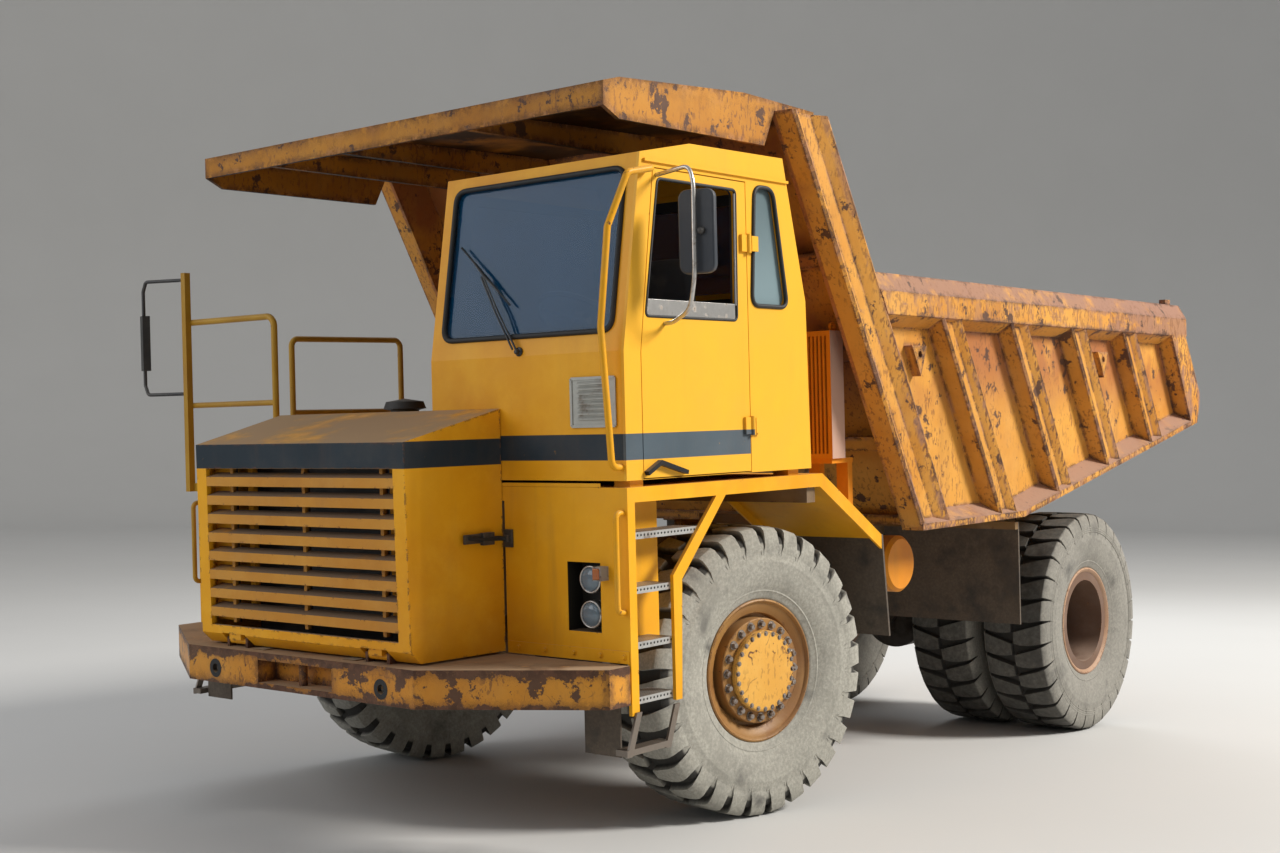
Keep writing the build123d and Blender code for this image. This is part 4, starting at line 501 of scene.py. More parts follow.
# Painted shade: the bumper's bores go near-black inside
BUMPER_BORE_SHADE = [((0.01, 0.009, 0.008), around(side * BUMPER_HOLE_X, 0.026),
        (BUMPER_FACE_Y + 0.0012, BUMPER_FACE_Y + 0.033), around(BUMPER_HOLE_Z, 0.026)) for _, side in SIDES]
COOLER_SIDE = ((0.5, 0.32, 0.245), (1.4835, 1.5), (0.745, 0.895), (2.11, 2.88))

cab_paint = worn_paint("cab_yellow", CAB_YELLOW, CAB_SHADE, (0.08, 0.35, 0.25, 0.06, 0.2),
    band=(2.182, 2.31, -0.41), sunlit_side=CAB_SUNNY_SIDE, boxes=CAB_BOXES)
nose_paint = worn_paint("nose_yellow", CAB_YELLOW, CAB_SHADE, (0.3, 1.0, 0.92, 0.1, 0.25), band=(2.165, 2.297, 9.0))
deck_paint = worn_paint("fender_yellow", CAB_YELLOW, CAB_SHADE, (0.14, 0.5, 0.45, 0.12, 0.55), boxes=LAMP_WELL_SHADE)
# The slats' rear edges, past y -1.995, get painted shade
slat_paint = worn_paint("slat_yellow", (0.58, 0.27, 0.035), (0.5, 0.21, 0.024), (0.25, 0.7, 0.95, 0.18, 0.2),
    deep_shade=-1.995, dirt=(0.2, 0.14, 0.095))
bumper_paint = worn_paint("bumper_yellow", (0.62, 0.27, 0.03), (0.54, 0.215, 0.022), (0.75, 1.2, 0.9, 0.12, 0.35),
    flecks=0.7, ridges=0.35, scrapes=1.3, scratches=0.5, reach=0.08, lips=(1.005, 1.195), boxes=BUMPER_BORE_SHADE)
# Brighter than the cab's yellow: painted light on the plates that stand in the nose's shade behind the slats
lit_flange_paint = worn_paint("flange_yellow_lit", (0.92, 0.43, 0.025), (0.8, 0.34, 0.018), (0.15, 0.4, 0.3, 0.2, 0.4))
bed_paint = worn_paint("bed_yellow", (0.6, 0.285, 0.048), (0.5, 0.205, 0.026), (0.55, 0.5, 0.55, 0.12, 0.6),
    rust=0.5, flecks=1.0, ridges=0.9, scrapes=0.65, gloss=0.6, reach=0.04, fold=0.975, body=True,
    dirt=(0.38, 0.245, 0.175))
canopy_paint = worn_paint("canopy_yellow", (0.48, 0.205, 0.022), (0.38, 0.15, 0.016), (0.6, 1.0, 0.35, 0.06, 0.8),
    rust=0.6, flecks=0.7, ridges=0.8, scrapes=0.8, gloss=0.6, reach=0.07, sooty=True,
    dirt=(0.3, 0.17, 0.09))
frame_paint = worn_paint("frame_brown", (0.22, 0.125, 0.045), (0.12, 0.07, 0.033), (0.5, 0.5, 0.7, 0.4, 0.6),
    rust=0.5, gloss=0.6, dirt=GREY_DUST)
# The rails on the truck's left half, from x 0, get a paler yellow: painted sunlight
rail_paint = worn_paint("rail_ochre", (0.44, 0.245, 0.022), (0.34, 0.175, 0.02), (0.7, 0.0, 0.3, 0.2, 0.3),
    rust=0.35, sunlit_side=((0.76, 0.35, 0.009), 0.0))
tank_paint = worn_paint("tank_orange", (0.66, 0.235, 0.008), (0.52, 0.17, 0.008), (0.3, 0.5, 0.35, 0.1, 0.4), rust=0.1)
cooler_paint = worn_paint("cooler_orange", (0.7, 0.235, 0.01), (0.56, 0.17, 0.01), (0.2, 0.25, 0.3, 0.1, 0.3),
    rust=0.1, boxes=(COOLER_SIDE,))
rim_paint = worn_paint("rim_gold", (0.36, 0.185, 0.05), (0.22, 0.098, 0.032), (0.65, 0.8, 0.3, 0.25, 0.2),
    rust=0.7, gloss=0.42, dirt=(0.3, 0.2, 0.13))
dish_paint = worn_paint("dish_brown", (0.155, 0.092, 0.062), (0.11, 0.062, 0.042), (0.5, 0.6, 0.7, 0.35, 0.3),
    rust=0.2, gloss=0.5, dirt=(0.36, 0.26, 0.2))
lip_paint = worn_paint("lip_tan", (0.42, 0.26, 0.165), (0.3, 0.165, 0.095), (0.7, 0.7, 0.4, 0.2, 0.2), gloss=0.5)
hub_paint = worn_paint("hub_yellow", (0.74, 0.4, 0.08), (0.66, 0.33, 0.055), (0.75, 1.7, 0.1, 0.05, 0.1),
    flecks=0.35, scratches=1.0, reach=0.03)
grey_paint = worn_paint("grey_steel", (0.3, 0.29, 0.27), (0.22, 0.21, 0.19), (0.35, 0.8, 0.4, 0.2, 0.4),
    dirt=GREY_DUST)
tread_steel = worn_metal("tread_steel", (0.52, 0.52, 0.5), (0.17, 0.13, 0.1), 0.55, 0.42, 0.45, holes=True)
cast_steel = worn_metal("cast_steel", (0.1, 0.085, 0.07), (0.055, 0.043, 0.033), 0.5, 0.6, 0.7)
bright_steel = worn_metal("bright_steel", (0.6, 0.59, 0.57), (0.22, 0.16, 0.11), 0.85, 0.3, 0.3, scale=3.0)
nut_steel = worn_metal("nut_steel", (0.34, 0.3, 0.27), (0.1, 0.055, 0.035), 0.75, 0.38, 0.6, scale=5.0)
alloy = worn_metal("alloy", (0.44, 0.44, 0.4), (0.24, 0.2, 0.16), 0.35, 0.5, 0.3, scale=2.0)
rod_steel = worn_metal("rod_steel", (0.68, 0.68, 0.68), (0.2, 0.17, 0.14), 1.0, 0.15, 0.2)
mirror_glass = worn_metal("mirror_glass", (0.75, 0.77, 0.8), (0.3, 0.3, 0.3), 1.0, 0.05, 0.05)
TYRE_BLACK = (0.06, 0.057, 0.052)
tyre_rubber = dusty_rubber("tyre_rubber", TYRE_BLACK, (0.33, 0.315, 0.275), 0.95, shaded_grooves=True)
# The front tyres' dust is paler than the rear tyres': painted sunlight, as they face the light more, on top of real
# dust
sunlit_dusty_front_rubber = dusty_rubber("sunlit_dusty_front_rubber", TYRE_BLACK, (0.46, 0.445, 0.385), 0.95, shaded_grooves=True)
flap_rubber = dusty_rubber("flap_rubber", (0.032, 0.028, 0.025), (0.15, 0.118, 0.088), 0.8)
seal_rubber = dusty_rubber("seal_rubber", (0.01, 0.01, 0.01), (0.07, 0.065, 0.06), 0.15)
black_paint = moulded("black_paint", (0.02, 0.02, 0.022), rough=0.4)
mirror_shell = moulded("mirror_shell", (0.03, 0.038, 0.052), rough=0.45, dust=0.15)
trim_plastic = moulded("trim_plastic", (0.035, 0.034, 0.033), rough=0.6, dust=0.4)
# The cab's panes: their blue is a painted sky reflection
cab_pane = pane("cab_pane", (0.003, 0.052, 0.125), 0.72, pale=(0.24, 0.33, 0.36))
door_pane = pane("door_pane", (0.014, 0.016, 0.018), 0.45)
lamp_glass = lens("lamp_glass", (0.16, 0.23, 0.29))
amber_glass = lens("amber_glass", (0.52, 0.125, 0.004))
seat_cloth = woven("seat_cloth", (0.045, 0.045, 0.05))

# Which nodes of the solid model each look is for
NODE_LOOKS = (
    (frame_paint, "frame cross_members engine hoist_barrels"), (bumper_paint, "bumper"), (nose_paint, "nose"),
    (slat_paint, "grille"), (deck_paint, "engine_cover fender_left fender_right"), (tread_steel, "steps"),
    (grey_paint, "lamps battery_box"), (cooler_paint, "oil_cooler"), (tank_paint, "tanks"),
    (cab_paint, "cab cab_roof door"), (cab_pane, "cab_glass"), (door_pane, "door_glass"), (seat_cloth, "seat"),
    (trim_plastic, "dashboard air_cleaner"), (black_paint, "radiator wiper mirror_left mirror_right"),
    (rail_paint, "handrails"), (flap_rubber, "rubber_flaps"), (canopy_paint, "canopy"), (rod_steel, "hoist_rods"),
    (bed_paint, "body_floor body_sills body_side_left body_side_right body_front"),
    (cast_steel, "driveline springs front_axle rear_axle knuckle_left knuckle_right tie_rod"),
    (sunlit_dusty_front_rubber, "tyre_front_left tyre_front_right"), (rim_paint, "rim_front_left rim_front_right"),
    (tyre_rubber, "tyres_rear_left tyres_rear_right"), (dish_paint, "rims_rear_left rims_rear_right"))
for look, names in NODE_LOOKS:
    for name in names.split():
        for slot in NODES[name].material_slots:
            slot.material = look


# Ways to make pieces
BEND_STEPS = 6
ROUNDING_SEGMENTS = 2


def add_object(name, data):
    made = bpy.data.objects.new(name, data)
    SCENE.collection.objects.link(made)
    return made


def piece(name, data, look, body, at=LEVEL, bevel=0.0):
    """An object of a mesh or curve, set down by a matrix, that rides on a body."""
    data.transform(at)
    data.materials.append(look)
    made = add_object(name, data)
    if bevel:
        rounding = made.modifiers.new("rounding", "BEVEL")
        rounding.width = bevel
        rounding.segments = ROUNDING_SEGMENTS
        rounding.limit_method = "ANGLE"
        rounding.harden_normals = True
    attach(made, body)
    return made


def mesh_from(name, form, smooth=True):
    data = bpy.data.meshes.new(name)
    form.to_mesh(data)
    form.free()
    data.shade_smooth() if smooth else data.shade_flat()
    return data


def facing_front(*place):
    """A place whose x axis points ahead."""
    return Matrix.Translation(place) @ Matrix.Rotation(-pi / 2, 4, "Z")


def add_block(form, x_span, y_span, z_span):
    """A six-sided block between two corners."""
    corners = [form.verts.new((x, y, z)) for x in x_span for y in y_span for z in z_span]
    for face in ((0, 1, 3, 2), (4, 6, 7, 5), (0, 4, 5, 1), (2, 3, 7, 6), (0, 2, 6, 4), (1, 5, 7, 3)):
        form.faces.new([corners[i] for i in face])
    bmesh.ops.recalc_face_normals(form, faces=form.faces)


def block_piece(name, blocks, look, body, bevel=0.0, at=LEVEL, smooth=True):
    """A piece of blocks, each given by its x, y and z spans."""
    form = bmesh.new()
    for spans in blocks:
        add_block(form, *spans)
    return piece(name, mesh_from(name, form, smooth), look, body, at, bevel)


def turns(count):
    """Angles spread evenly round a circle."""
    return [2 * pi * index / count for index in range(count)]


def join_rings(form, rings):
    """Faces between each ring of points and the next."""
    for first, second in zip(rings, rings[1:]):
        for index in range(len(first)):
            after = (index + 1) % len(first)
            form.faces.new((first[index], first[after], second[after], second[index]))


def add_turned(form, profile, segments, at=Matrix(), closed=False):
    """A profile of (distance along x, radius) points turned about the x axis. Returns its rings of points."""
    rings = [[form.verts.new(at @ Vector((x, radius * sin(turn), radius * cos(turn)))) for turn in turns(segments)]
        for x, radius in profile]
    join_rings(form, rings + rings[:1] if closed else rings)
    if not closed:
        form.faces.new(rings[0])
        form.faces.new(rings[-1])
    bmesh.ops.recalc_face_normals(form, faces=form.faces)
    return rings


def turned_piece(name, profile, look, body, at, bevel=0.0, segments=96, closed=False, smooth=True):
    form = bmesh.new()
    add_turned(form, profile, segments, closed=closed)
    return piece(name, mesh_from(name, form, smooth), look, body, at, bevel)


def add_bolt(form, at, radius, height):
    """A hexagon head on a washer. Its axis is x, and it stands on the place that the matrix gives."""
    add_turned(form, [(-0.004, radius * 1.45), (0.003, radius * 1.45), (0.003, radius * 1.15)], 20, at)
    add_turned(form, [(0, radius), (height * 0.8, radius), (height, radius * 0.82)], 6, at)


def rounded(points, radius, closed):
    """A path whose corners are rounded."""
    path = []
    count = len(points)
    for index, point in enumerate(points):
        here = Vector(point)
        if not closed and index in (0, count - 1):
            path.append(here)
            continue
        before = Vector(points[index - 1]) - here
        after = Vector(points[(index + 1) % count]) - here
        reach = min(radius, before.length * 0.49, after.length * 0.49)
        start, end = here + before.normalized() * reach, here + after.normalized() * reach
        for step in range(BEND_STEPS + 1):
            t = step / BEND_STEPS
            path.append(start * (1 - t) ** 2 + here * 2 * t * (1 - t) + end * t ** 2)
    return path


def tube(name, points, radius, look, body, closed=False, bend=0.0):
    """A round tube or seal along a path whose corners are rounded by bend."""
    path = rounded(points, bend, closed) if bend else [Vector(p) for p in points]
    data = bpy.data.curves.new(name, "CURVE")
    data.dimensions = "3D"
    data.bevel_depth = radius
    data.bevel_resolution = 3
    data.use_fill_caps = True
    line = data.splines.new("POLY")
    line.points.add(len(path) - 1)
    for point, place in zip(line.points, path):
        point.co = (*place, 1.0)
    line.use_cyclic_u = closed
    line.use_smooth = True
    return piece(name, data, look, body)


def lean_point(x, z, out=0.0):
    """A point on the cab's leaning upper front, or some way out from it."""
    return Vector((x, FACE_Y + (z - CREASE_Z) * tan(LEAN) - out * cos(LEAN), z + out * sin(LEAN)))


# Tyres: a turned carcass with two rows of staggered lugs that curve down over the shoulders
LUG_COUNT = 30
HALF_CARCASS = [(0.16, 0.324), (0.172, 0.34), (0.184, 0.388), (0.196, 0.396), (0.203, 0.408), (0.208, 0.428),
    (0.216, 0.44), (0.214, 0.446), (0.228, 0.476), (0.239, 0.52), (0.2465, 0.565), (0.2478, 0.6),
    (0.249, 0.606), (0.247, 0.612), (0.2455, 0.65), (0.24, 0.69), (0.231, 0.722), (0.214, 0.744),
    (0.18, 0.752), (0.09, 0.756)]
WIDEST_X = 0.2455
ABOVE_WALL = -5
TREAD_CENTRE = (0.0, 0.757)
TREAD_R = 0.715
CROWN_X = 0.22
# A ring on the wall: distance along the axle, and how far its points lie from the ring's radius
WALL_RING = ((0.2445, -0.005), (0.2485, -0.002), (0.2485, 0.002), (0.2445, 0.005))
REAR_RINGS_R = (0.66, 0.675, 0.69)
# Lug stations from the middle outward: x, top radius, half width, sweep along the tread and how much painted shade its
# foot gets
LUG_STATIONS = ((0.01, 0.7985, 0.03, 0.0, 1.0), (0.06, 0.799, 0.04, 0.004, 1.0),
    (0.12, 0.7985, 0.047, 0.013, 1.0), (0.18, 0.7965, 0.05, 0.027, 1.0), (0.214, 0.79, 0.052, 0.037, 1.0),
    (0.231, 0.772, 0.054, 0.042, 1.0), (0.242, 0.73, 0.058, 0.047, 0.9), (0.247, 0.695, 0.064, 0.05, 0.5),
    (0.2475, 0.672, 0.0735, 0.051, 0.0), (0.242, 0.645, 0.076, 0.051, 0.0))
LUG_HALF_MAX = 0.0765
LUG_SINK = 0.012
LUG_FLARE = 0.006


def carcass_radius(x):
    """The radius of the tread's base at a distance from the tyre's middle."""
    outer = HALF_CARCASS[-8:]
    for (x1, r1), (x2, r2) in zip(outer, outer[1:]):
        if x2 <= x <= x1:
            return r2 + (r1 - r2) * (x - x2) / (x1 - x2)
    return outer[-1][1]


def add_lug(form, groove_shade, side, middle, wide, dirt):
    """One lug on one side of the tread, drawn about a middle angle. dirt is how much painted shade its crown gets."""
    rows = []
    for x, top_r, half, sweep, dark in LUG_STATIONS:
        half = min(half * wide, LUG_HALF_MAX)
        crown = dirt if x < CROWN_X else 0.0
        base_r = min(carcass_radius(min(x, WIDEST_X)), top_r) - LUG_SINK
        row = []
        for radius, offset, depth in ((base_r, -half - LUG_FLARE, dark), (top_r, -half, crown),
                (top_r, half, crown), (base_r, half + LUG_FLARE, dark)):
            angle = middle + (offset + sweep) / TYRE_R
            point = form.verts.new((side * x, radius * sin(angle), radius * cos(angle)))
            point[groove_shade] = (depth, depth, depth, 1.0)
            row.append(point)
        rows.append(row)
    for first, second in zip(rows, rows[1:]):
        for index in range(3):
            form.faces.new((first[index], first[index + 1], second[index + 1], second[index]))
    form.faces.new(rows[0])
    form.faces.new(rows[-1])


def tyre_mesh(name, wide, dirt, rings_r):
    """A tyre: wide is how far its lugs fill the tread, dirt how much painted shade their crowns get, rings_r the radii
    of rings on it.
    """
    form = bmesh.new()
    groove_shade = form.verts.layers.float_color.new("groove_shade")
    wall_rings = [(x, radius + step) for radius in rings_r for x, step in WALL_RING]
    half = HALF_CARCASS[:ABOVE_WALL] + wall_rings + HALF_CARCASS[ABOVE_WALL:]
    profile = half + [TREAD_CENTRE] + [(-x, radius) for x, radius in reversed(half)]
    rings = add_turned(form, profile, 6 * LUG_COUNT, closed=True)
    # The groove layer is painted shade: full on the tread's base between the lugs
    for (_, radius), ring in zip(profile, rings):
        depth = 1.0 if radius > TREAD_R else 0.0
        for point in ring:
            point[groove_shade] = (depth, depth, depth, 1.0)
    for index in range(LUG_COUNT):
        add_lug(form, groove_shade, 1, 2 * pi * index / LUG_COUNT, wide, dirt)
        add_lug(form, groove_shade, -1, 2 * pi * (index + 0.5) / LUG_COUNT, wide, dirt)
    bmesh.ops.recalc_face_normals(form, faces=form.faces)
    return mesh_from(name, form)


def front_wheel(side):
    """The place of a front wheel, which was parked turned about its kingpin. Its axle is x."""
    return (LEVEL @ Matrix.Translation((side * KINGPIN_X, 0, FRONT_AXLE_Z)) @ Matrix.Rotation(STEER_REST, 4, "Z")
        @ Matrix.Translation((side * (FRONT_WHEEL_X - KINGPIN_X), 0, 0)) @ Matrix.Rotation(-RAKE, 4, "X"))


def rear_wheel(side, x):
    return LEVEL @ Matrix.Translation((side * x, WHEELBASE, AXLE_Z)) @ Matrix.Rotation(-RAKE, 4, "X")


LUG_BEVEL = 0.005
for hand, side in SIDES:
    rolling = "wheel_front_" + hand
    tyre = piece("tread_front_" + hand, tyre_mesh("tyre", 1.0, 0.22, ()), sunlit_dusty_front_rubber, rolling,
        front_wheel(side), LUG_BEVEL)
    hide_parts("tyre_front_" + hand)
    rolling = "wheel_rear_" + hand
    for place, x in (("outer", REAR_OUTER_X), ("inner", REAR_INNER_X)):
        tyre = piece(f"tread_rear_{place}_{hand}", tyre_mesh("tyre", 1.34, 0.5, REAR_RINGS_R), tyre_rubber,
            rolling, rear_wheel(side, x), LUG_BEVEL)
        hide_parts("tyres_rear_" + hand)

# Rims, hub covers, lock rings and bolts. Profiles are distance along the axle and radius
RIM_SECTION = [(-0.186, 0.381), (-0.174, 0.381), (-0.162, 0.3217), (0.162, 0.3217), (0.174, 0.381), (0.183, 0.384),
    (0.19, 0.38), (0.188, 0.366), (0.178, 0.345), (0.163, 0.316), (0.15, 0.3125), (0.122, 0.3125),
    (0.12, 0.2905), (0.2, 0.29), (0.205, 0.285), (0.205, 0.0005), (0.105, 0.0005), (0.105, 0.0703),
    (-0.03, 0.0703), (-0.03, 0.262), (0.095, 0.262), (0.095, 0.299), (-0.186, 0.299)]
HUB_COVER = [(0.206, 0.2235), (0.236, 0.2235), (0.2455, 0.218), (0.2465, 0.19), (0.249, 0.0005)]
LOCK_RING = [(0.17, 0.382), (0.186, 0.393), (0.2, 0.393), (0.205, 0.383)]
FRONT_LOCK_RING = LOCK_RING + [(0.196, 0.372), (0.17, 0.362)]
REAR_LOCK_RING = LOCK_RING + [(0.196, 0.368), (0.17, 0.35)]
# Bolts on a wheel: how many, their ring's radius, where they stand along the axle, their radius and height
FRONT_NUTS = (20, 0.256, 0.205, 0.0175, 0.024)
COVER_BOLTS = (24, 0.207, 0.2445, 0.0095, 0.008)
REAR_NUTS = (20, 0.205, -0.12, 0.0145, 0.02)


def bolt_ring(name, bolts, body, at, side):
    count, ring_r, x, bolt_r, height = bolts
    form = bmesh.new()
    for turn in turns(count):
        place = Matrix.Rotation(turn, 4, "X") @ Matrix.Translation((side * x, 0, ring_r))
        add_bolt(form, place @ Matrix.Scale(side, 4, (1, 0, 0)), bolt_r, height)
    bmesh.ops.recalc_face_normals(form, faces=form.faces)
    return piece(name, mesh_from(name, form, smooth=False), nut_steel, body, at)


def wheel_ring(name, profile, look, body, at, side, closed=True):
    """A turned piece whose profile points out from the truck on either side."""
    return turned_piece(name, [(side * x, radius) for x, radius in profile], look, body, at, bevel=0.003,
        closed=closed)


for hand, side in SIDES:
    body = "wheel_front_" + hand
    place = front_wheel(side)
    rim = wheel_ring("rim_dish_" + hand, RIM_SECTION, rim_paint, body, place, side)
    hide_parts("rim_front_" + hand)
    bolt_ring("wheel_nuts_front_" + hand, FRONT_NUTS, body, place, side)
    bolt_ring("cover_bolts_front_" + hand, COVER_BOLTS, body, place, side)
    wheel_ring("hub_cover_" + hand, HUB_COVER, hub_paint, body, place, side, closed=False)
    wheel_ring("lock_ring_front_" + hand, FRONT_LOCK_RING, rim_paint, body, place, side)
    body = "wheel_rear_" + hand
    place = rear_wheel(side, REAR_OUTER_X)
    wheel_ring("lock_ring_rear_" + hand, REAR_LOCK_RING, lip_paint, body, place, side)
    bolt_ring("wheel_nuts_rear_" + hand, REAR_NUTS, body, place, side)

# Glazing seals, with the door window's guide and strip
WINDSHIELD = ((0.47, 2.812), (1.648, 2.812), (1.648, 3.615), (0.47, 3.615))


def seal(name, points, radius, bend, body="chassis"):
    tube(name, points, radius, seal_rubber, body, closed=True, bend=bend)


def flat_loop(x, *corners):
    """Corners given as y and z, in a plane across x."""
    return [(x, y, z) for y, z in corners]


seal("windshield_seal", [lean_point(x, z, 0.004) for x, z in WINDSHIELD], 0.014, 0.07)
seal("quarter_seal", flat_loop(CAB_SIDE_X + 0.002, (-0.372, 2.965), (-0.33, 3.6), (-0.16, 3.6), (-0.045, 2.965)),
    0.012, 0.065)
seal("right_window_seal", flat_loop(CAB_IN_X - 0.002, (-1.23, 2.882), (-1.12, 3.56), (-0.18, 3.56), (-0.07, 2.882)),
    0.012, 0.07)
seal("door_window_frame", flat_loop(CAB_SIDE_X - 0.002, (-1.258, 2.882), (-1.142, 3.565), (-0.495, 3.565),
        (-0.505, 2.882)), 0.008, 0.03, "door")
GUIDE_X = CAB_SIDE_X - 0.0025
tube("door_window_guide", [(GUIDE_X, -0.512, 2.96), (GUIDE_X, -0.505, 3.545)], 0.006, bright_steel, "door")
block_piece("door_window_strip", [((CAB_SIDE_X - 0.012, CAB_SIDE_X - 0.002), (-1.245, -0.515), (2.884, 2.968))],
    bright_steel, "door", 0.003)

# The vent in the cab's front: a plate with a raised frame and louvres
VENT_X = (1.39, 1.672)
VENT_Z = (2.35, 2.585)
VENT_FRAME_Y = (FACE_Y - 0.01, FACE_Y - 0.004)
VENT_FRAME_HALF = 0.007
LOUVRE_COUNT = 8
LOUVRE_X = (VENT_X[0] + 0.045, VENT_X[1] - 0.045)
LOUVRE_BASE_Z = VENT_Z[0] + 0.032
LOUVRE_STEP = 0.0245
# A louvre's section: how far out it stands and how high
LOUVRE_SECTION = ((0.004, 0.018), (0.016, 0.004), (0.016, 0.0), (0.004, 0.0))
form = bmesh.new()
add_block(form, VENT_X, (FACE_Y - 0.005, FACE_Y), VENT_Z)
for z in VENT_Z:
    add_block(form, VENT_X, VENT_FRAME_Y, around(z, VENT_FRAME_HALF))
for x in VENT_X:
    add_block(form, around(x, VENT_FRAME_HALF), VENT_FRAME_Y, VENT_Z)
for row in range(LOUVRE_COUNT):
    z = LOUVRE_BASE_Z + row * LOUVRE_STEP
    louvre = [form.verts.new((x, FACE_Y - out, z + up)) for x in LOUVRE_X for out, up in LOUVRE_SECTION]
    join_rings(form, [louvre[:4], louvre[4:]])
    form.faces.new(louvre[:4])
    form.faces.new(louvre[4:])
bmesh.ops.recalc_face_normals(form, faces=form.faces)
piece("cab_vent", mesh_from("vent", form, False), alloy, "chassis")

# The wiper: two arms from its pivot, and a blade on a bridge. Places are x and z on the leaning front
WIPER_PIVOT = (1.035, 2.735)
WIPER_END = (0.757, 3.135)
ARM_GAP = 0.03
for index, shift in enumerate((0.0, ARM_GAP)):
    start = lean_point(WIPER_PIVOT[0] - shift, WIPER_PIVOT[1] + shift * 0.3, 0.022)
    end = lean_point(WIPER_END[0] - shift * 0.4, WIPER_END[1] - shift * 0.2, 0.035)
    middle = (start + end) / 2 + Vector((0.004, -0.012, 0.0))
    tube(f"wiper_arm_{index}", [start, middle, end], 0.0055, black_paint, "chassis")
blade_ends = [lean_point(0.56, 3.304, 0.018), lean_point(0.955, 2.975, 0.018)]
tube("wiper_blade", blade_ends, 0.006, seal_rubber, "chassis")
bridge_feet = [blade_ends[0] * share + blade_ends[1] * (1 - share) for share in (0.8, 0.2)]
tube("wiper_bridge", [bridge_feet[0], lean_point(0.757, 3.139, 0.036), bridge_feet[1]], 0.005, black_paint,
    "chassis", bend=0.03)
hub = turned_piece("wiper_pivot", [(0, 0.024), (0.01, 0.024), (0.014, 0.014), (0.03, 0.013), (0.034, 0.008)],
    black_paint, "chassis", LEVEL @ facing_front(*lean_point(*WIPER_PIVOT, -0.002)), 0.002, 24)
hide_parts("wiper")

# The keeper by the lower hinge
block_piece("door_plate", [((CAB_SIDE_X - 0.002, CAB_SIDE_X + 0.009), (-0.452, -0.428), (2.298, 2.33))],
    black_paint, "door", 0.003)

# Plates inside the nose that show between the slats, in a brighter yellow than the cab's as painted light reaching
# them: near and far x, and y span
GRILLE_Z = (1.33, 2.235)
GRILLE_PLATES = (((0.672, 0.812), (-1.961, -1.958)), ((0.672, 0.676), (-1.959, -1.9)),
    ((0.558, 0.6), (-1.895, -1.87)))
for hand, side in SIDES:
    plates = [(side_span(side, *x_span), y_span, GRILLE_Z) for x_span, y_span in GRILLE_PLATES]
    block_piece("grille_flange_" + hand, plates, lit_flange_paint, "nose", 0.001, smooth=False)

# Side latch of the nose: a rubber strap over a cast lever, and the keeper it holds on to
LATCH_Z = 1.79
tube("nose_latch_strap", [(0.897, -1.69, LATCH_Z + 0.012), (0.912, -1.6, LATCH_Z), (0.915, -1.48, LATCH_Z),
        (0.932, -1.446, LATCH_Z - 0.008)], 0.013, seal_rubber, "nose", bend=0.03)
block_piece("nose_latch", [((0.889, 0.905), (-1.715, -1.56), (LATCH_Z - 0.018, LATCH_Z + 0.03)),
        ((0.893, 0.922), (-1.6, -1.52), (LATCH_Z - 0.03, LATCH_Z + 0.034))],
    cast_steel, "nose", 0.004)
block_piece("nose_latch_keeper", [((0.905, 0.965), (FACE_Y - 0.012, FACE_Y), (LATCH_Z - 0.05, LATCH_Z + 0.042)),
        ((0.918, 0.95), (FACE_Y - 0.03, FACE_Y), (LATCH_Z - 0.022, LATCH_Z + 0.014))],
    cast_steel, "chassis", 0.004)

# Headlamps and indicators
LAMP_X = 1.47
LAMP_FRONT_Y = FACE_Y + 0.02
LAMP_ROWS_Z = (1.597, 1.425)
LENS_PROFILE = [(-0.002, 0.061), (0.008, 0.06), (0.017, 0.05), (0.0235, 0.032), (0.0255, 0.0005)]
BEZEL_SECTION = [(-0.03, 0.067), (0.006, 0.07), (0.013, 0.066), (0.012, 0.06), (-0.004, 0.06)]
for hand, side in SIDES:
    for row, z in enumerate(LAMP_ROWS_Z):
        facing = LEVEL @ facing_front(side * LAMP_X, LAMP_FRONT_Y, z)
        turned_piece(f"lamp_lens_{row}_{hand}", LENS_PROFILE, lamp_glass, "chassis", facing, segments=48)
        turned_piece(f"lamp_bezel_{row}_{hand}", BEZEL_SECTION, bright_steel, "chassis", facing,
            segments=48, closed=True)
    block_piece("indicator_" + hand, [(side_span(side, 1.554, 1.594), (FACE_Y - 0.069, FACE_Y - 0.058),
            (1.606, 1.662))], amber_glass, "chassis", 0.005)

# Flat near-black rings round the bumper's holes: painted shade that makes the holes look wider
HOLE_SHADE_RING_SECTION = [(-0.001, 0.0245), (0.0012, 0.0245), (0.0012, 0.05), (-0.001, 0.052)]
for hand, side in SIDES:
    hole = LEVEL @ facing_front(side * BUMPER_HOLE_X, BUMPER_FACE_Y, BUMPER_HOLE_Z)
    turned_piece("bumper_hole_shade_ring_" + hand, HOLE_SHADE_RING_SECTION, seal_rubber, "chassis", hole,
        segments=40, closed=True, smooth=False)

# The strip that closes most of the gap under the cab's front
STRIP_X = (CAB_IN_X + 0.006, 1.56)
block_piece("cab_sill_strip", [(STRIP_X, (FACE_Y + 0.001, FACE_Y + 0.004), (2.0505, 2.07)),
        (STRIP_X, (FACE_Y + 0.001, FACE_Y + 0.03), (2.0505, 2.053))],
    deck_paint, "chassis", 0.0008, smooth=False)

# The fenders' bolted foot flange and the bolts along it
FLANGE_BOLTS_X = (0.985, 1.17, 1.365, 1.54, 1.69)
for hand, side in SIDES:
    block_piece("fender_flange_" + hand, [(side_span(side, 0.91, 1.722), (FACE_Y - 0.005, FACE_Y + 0.001),
            (1.2, 1.262))], deck_paint, "chassis", 0.002)
    form = bmesh.new()
    for x in FLANGE_BOLTS_X:
        add_bolt(form, facing_front(side * x, FACE_Y - 0.005, 1.233), 0.012, 0.01)
    piece("flange_bolts_" + hand, mesh_from("bolts", form, False), deck_paint, "chassis")

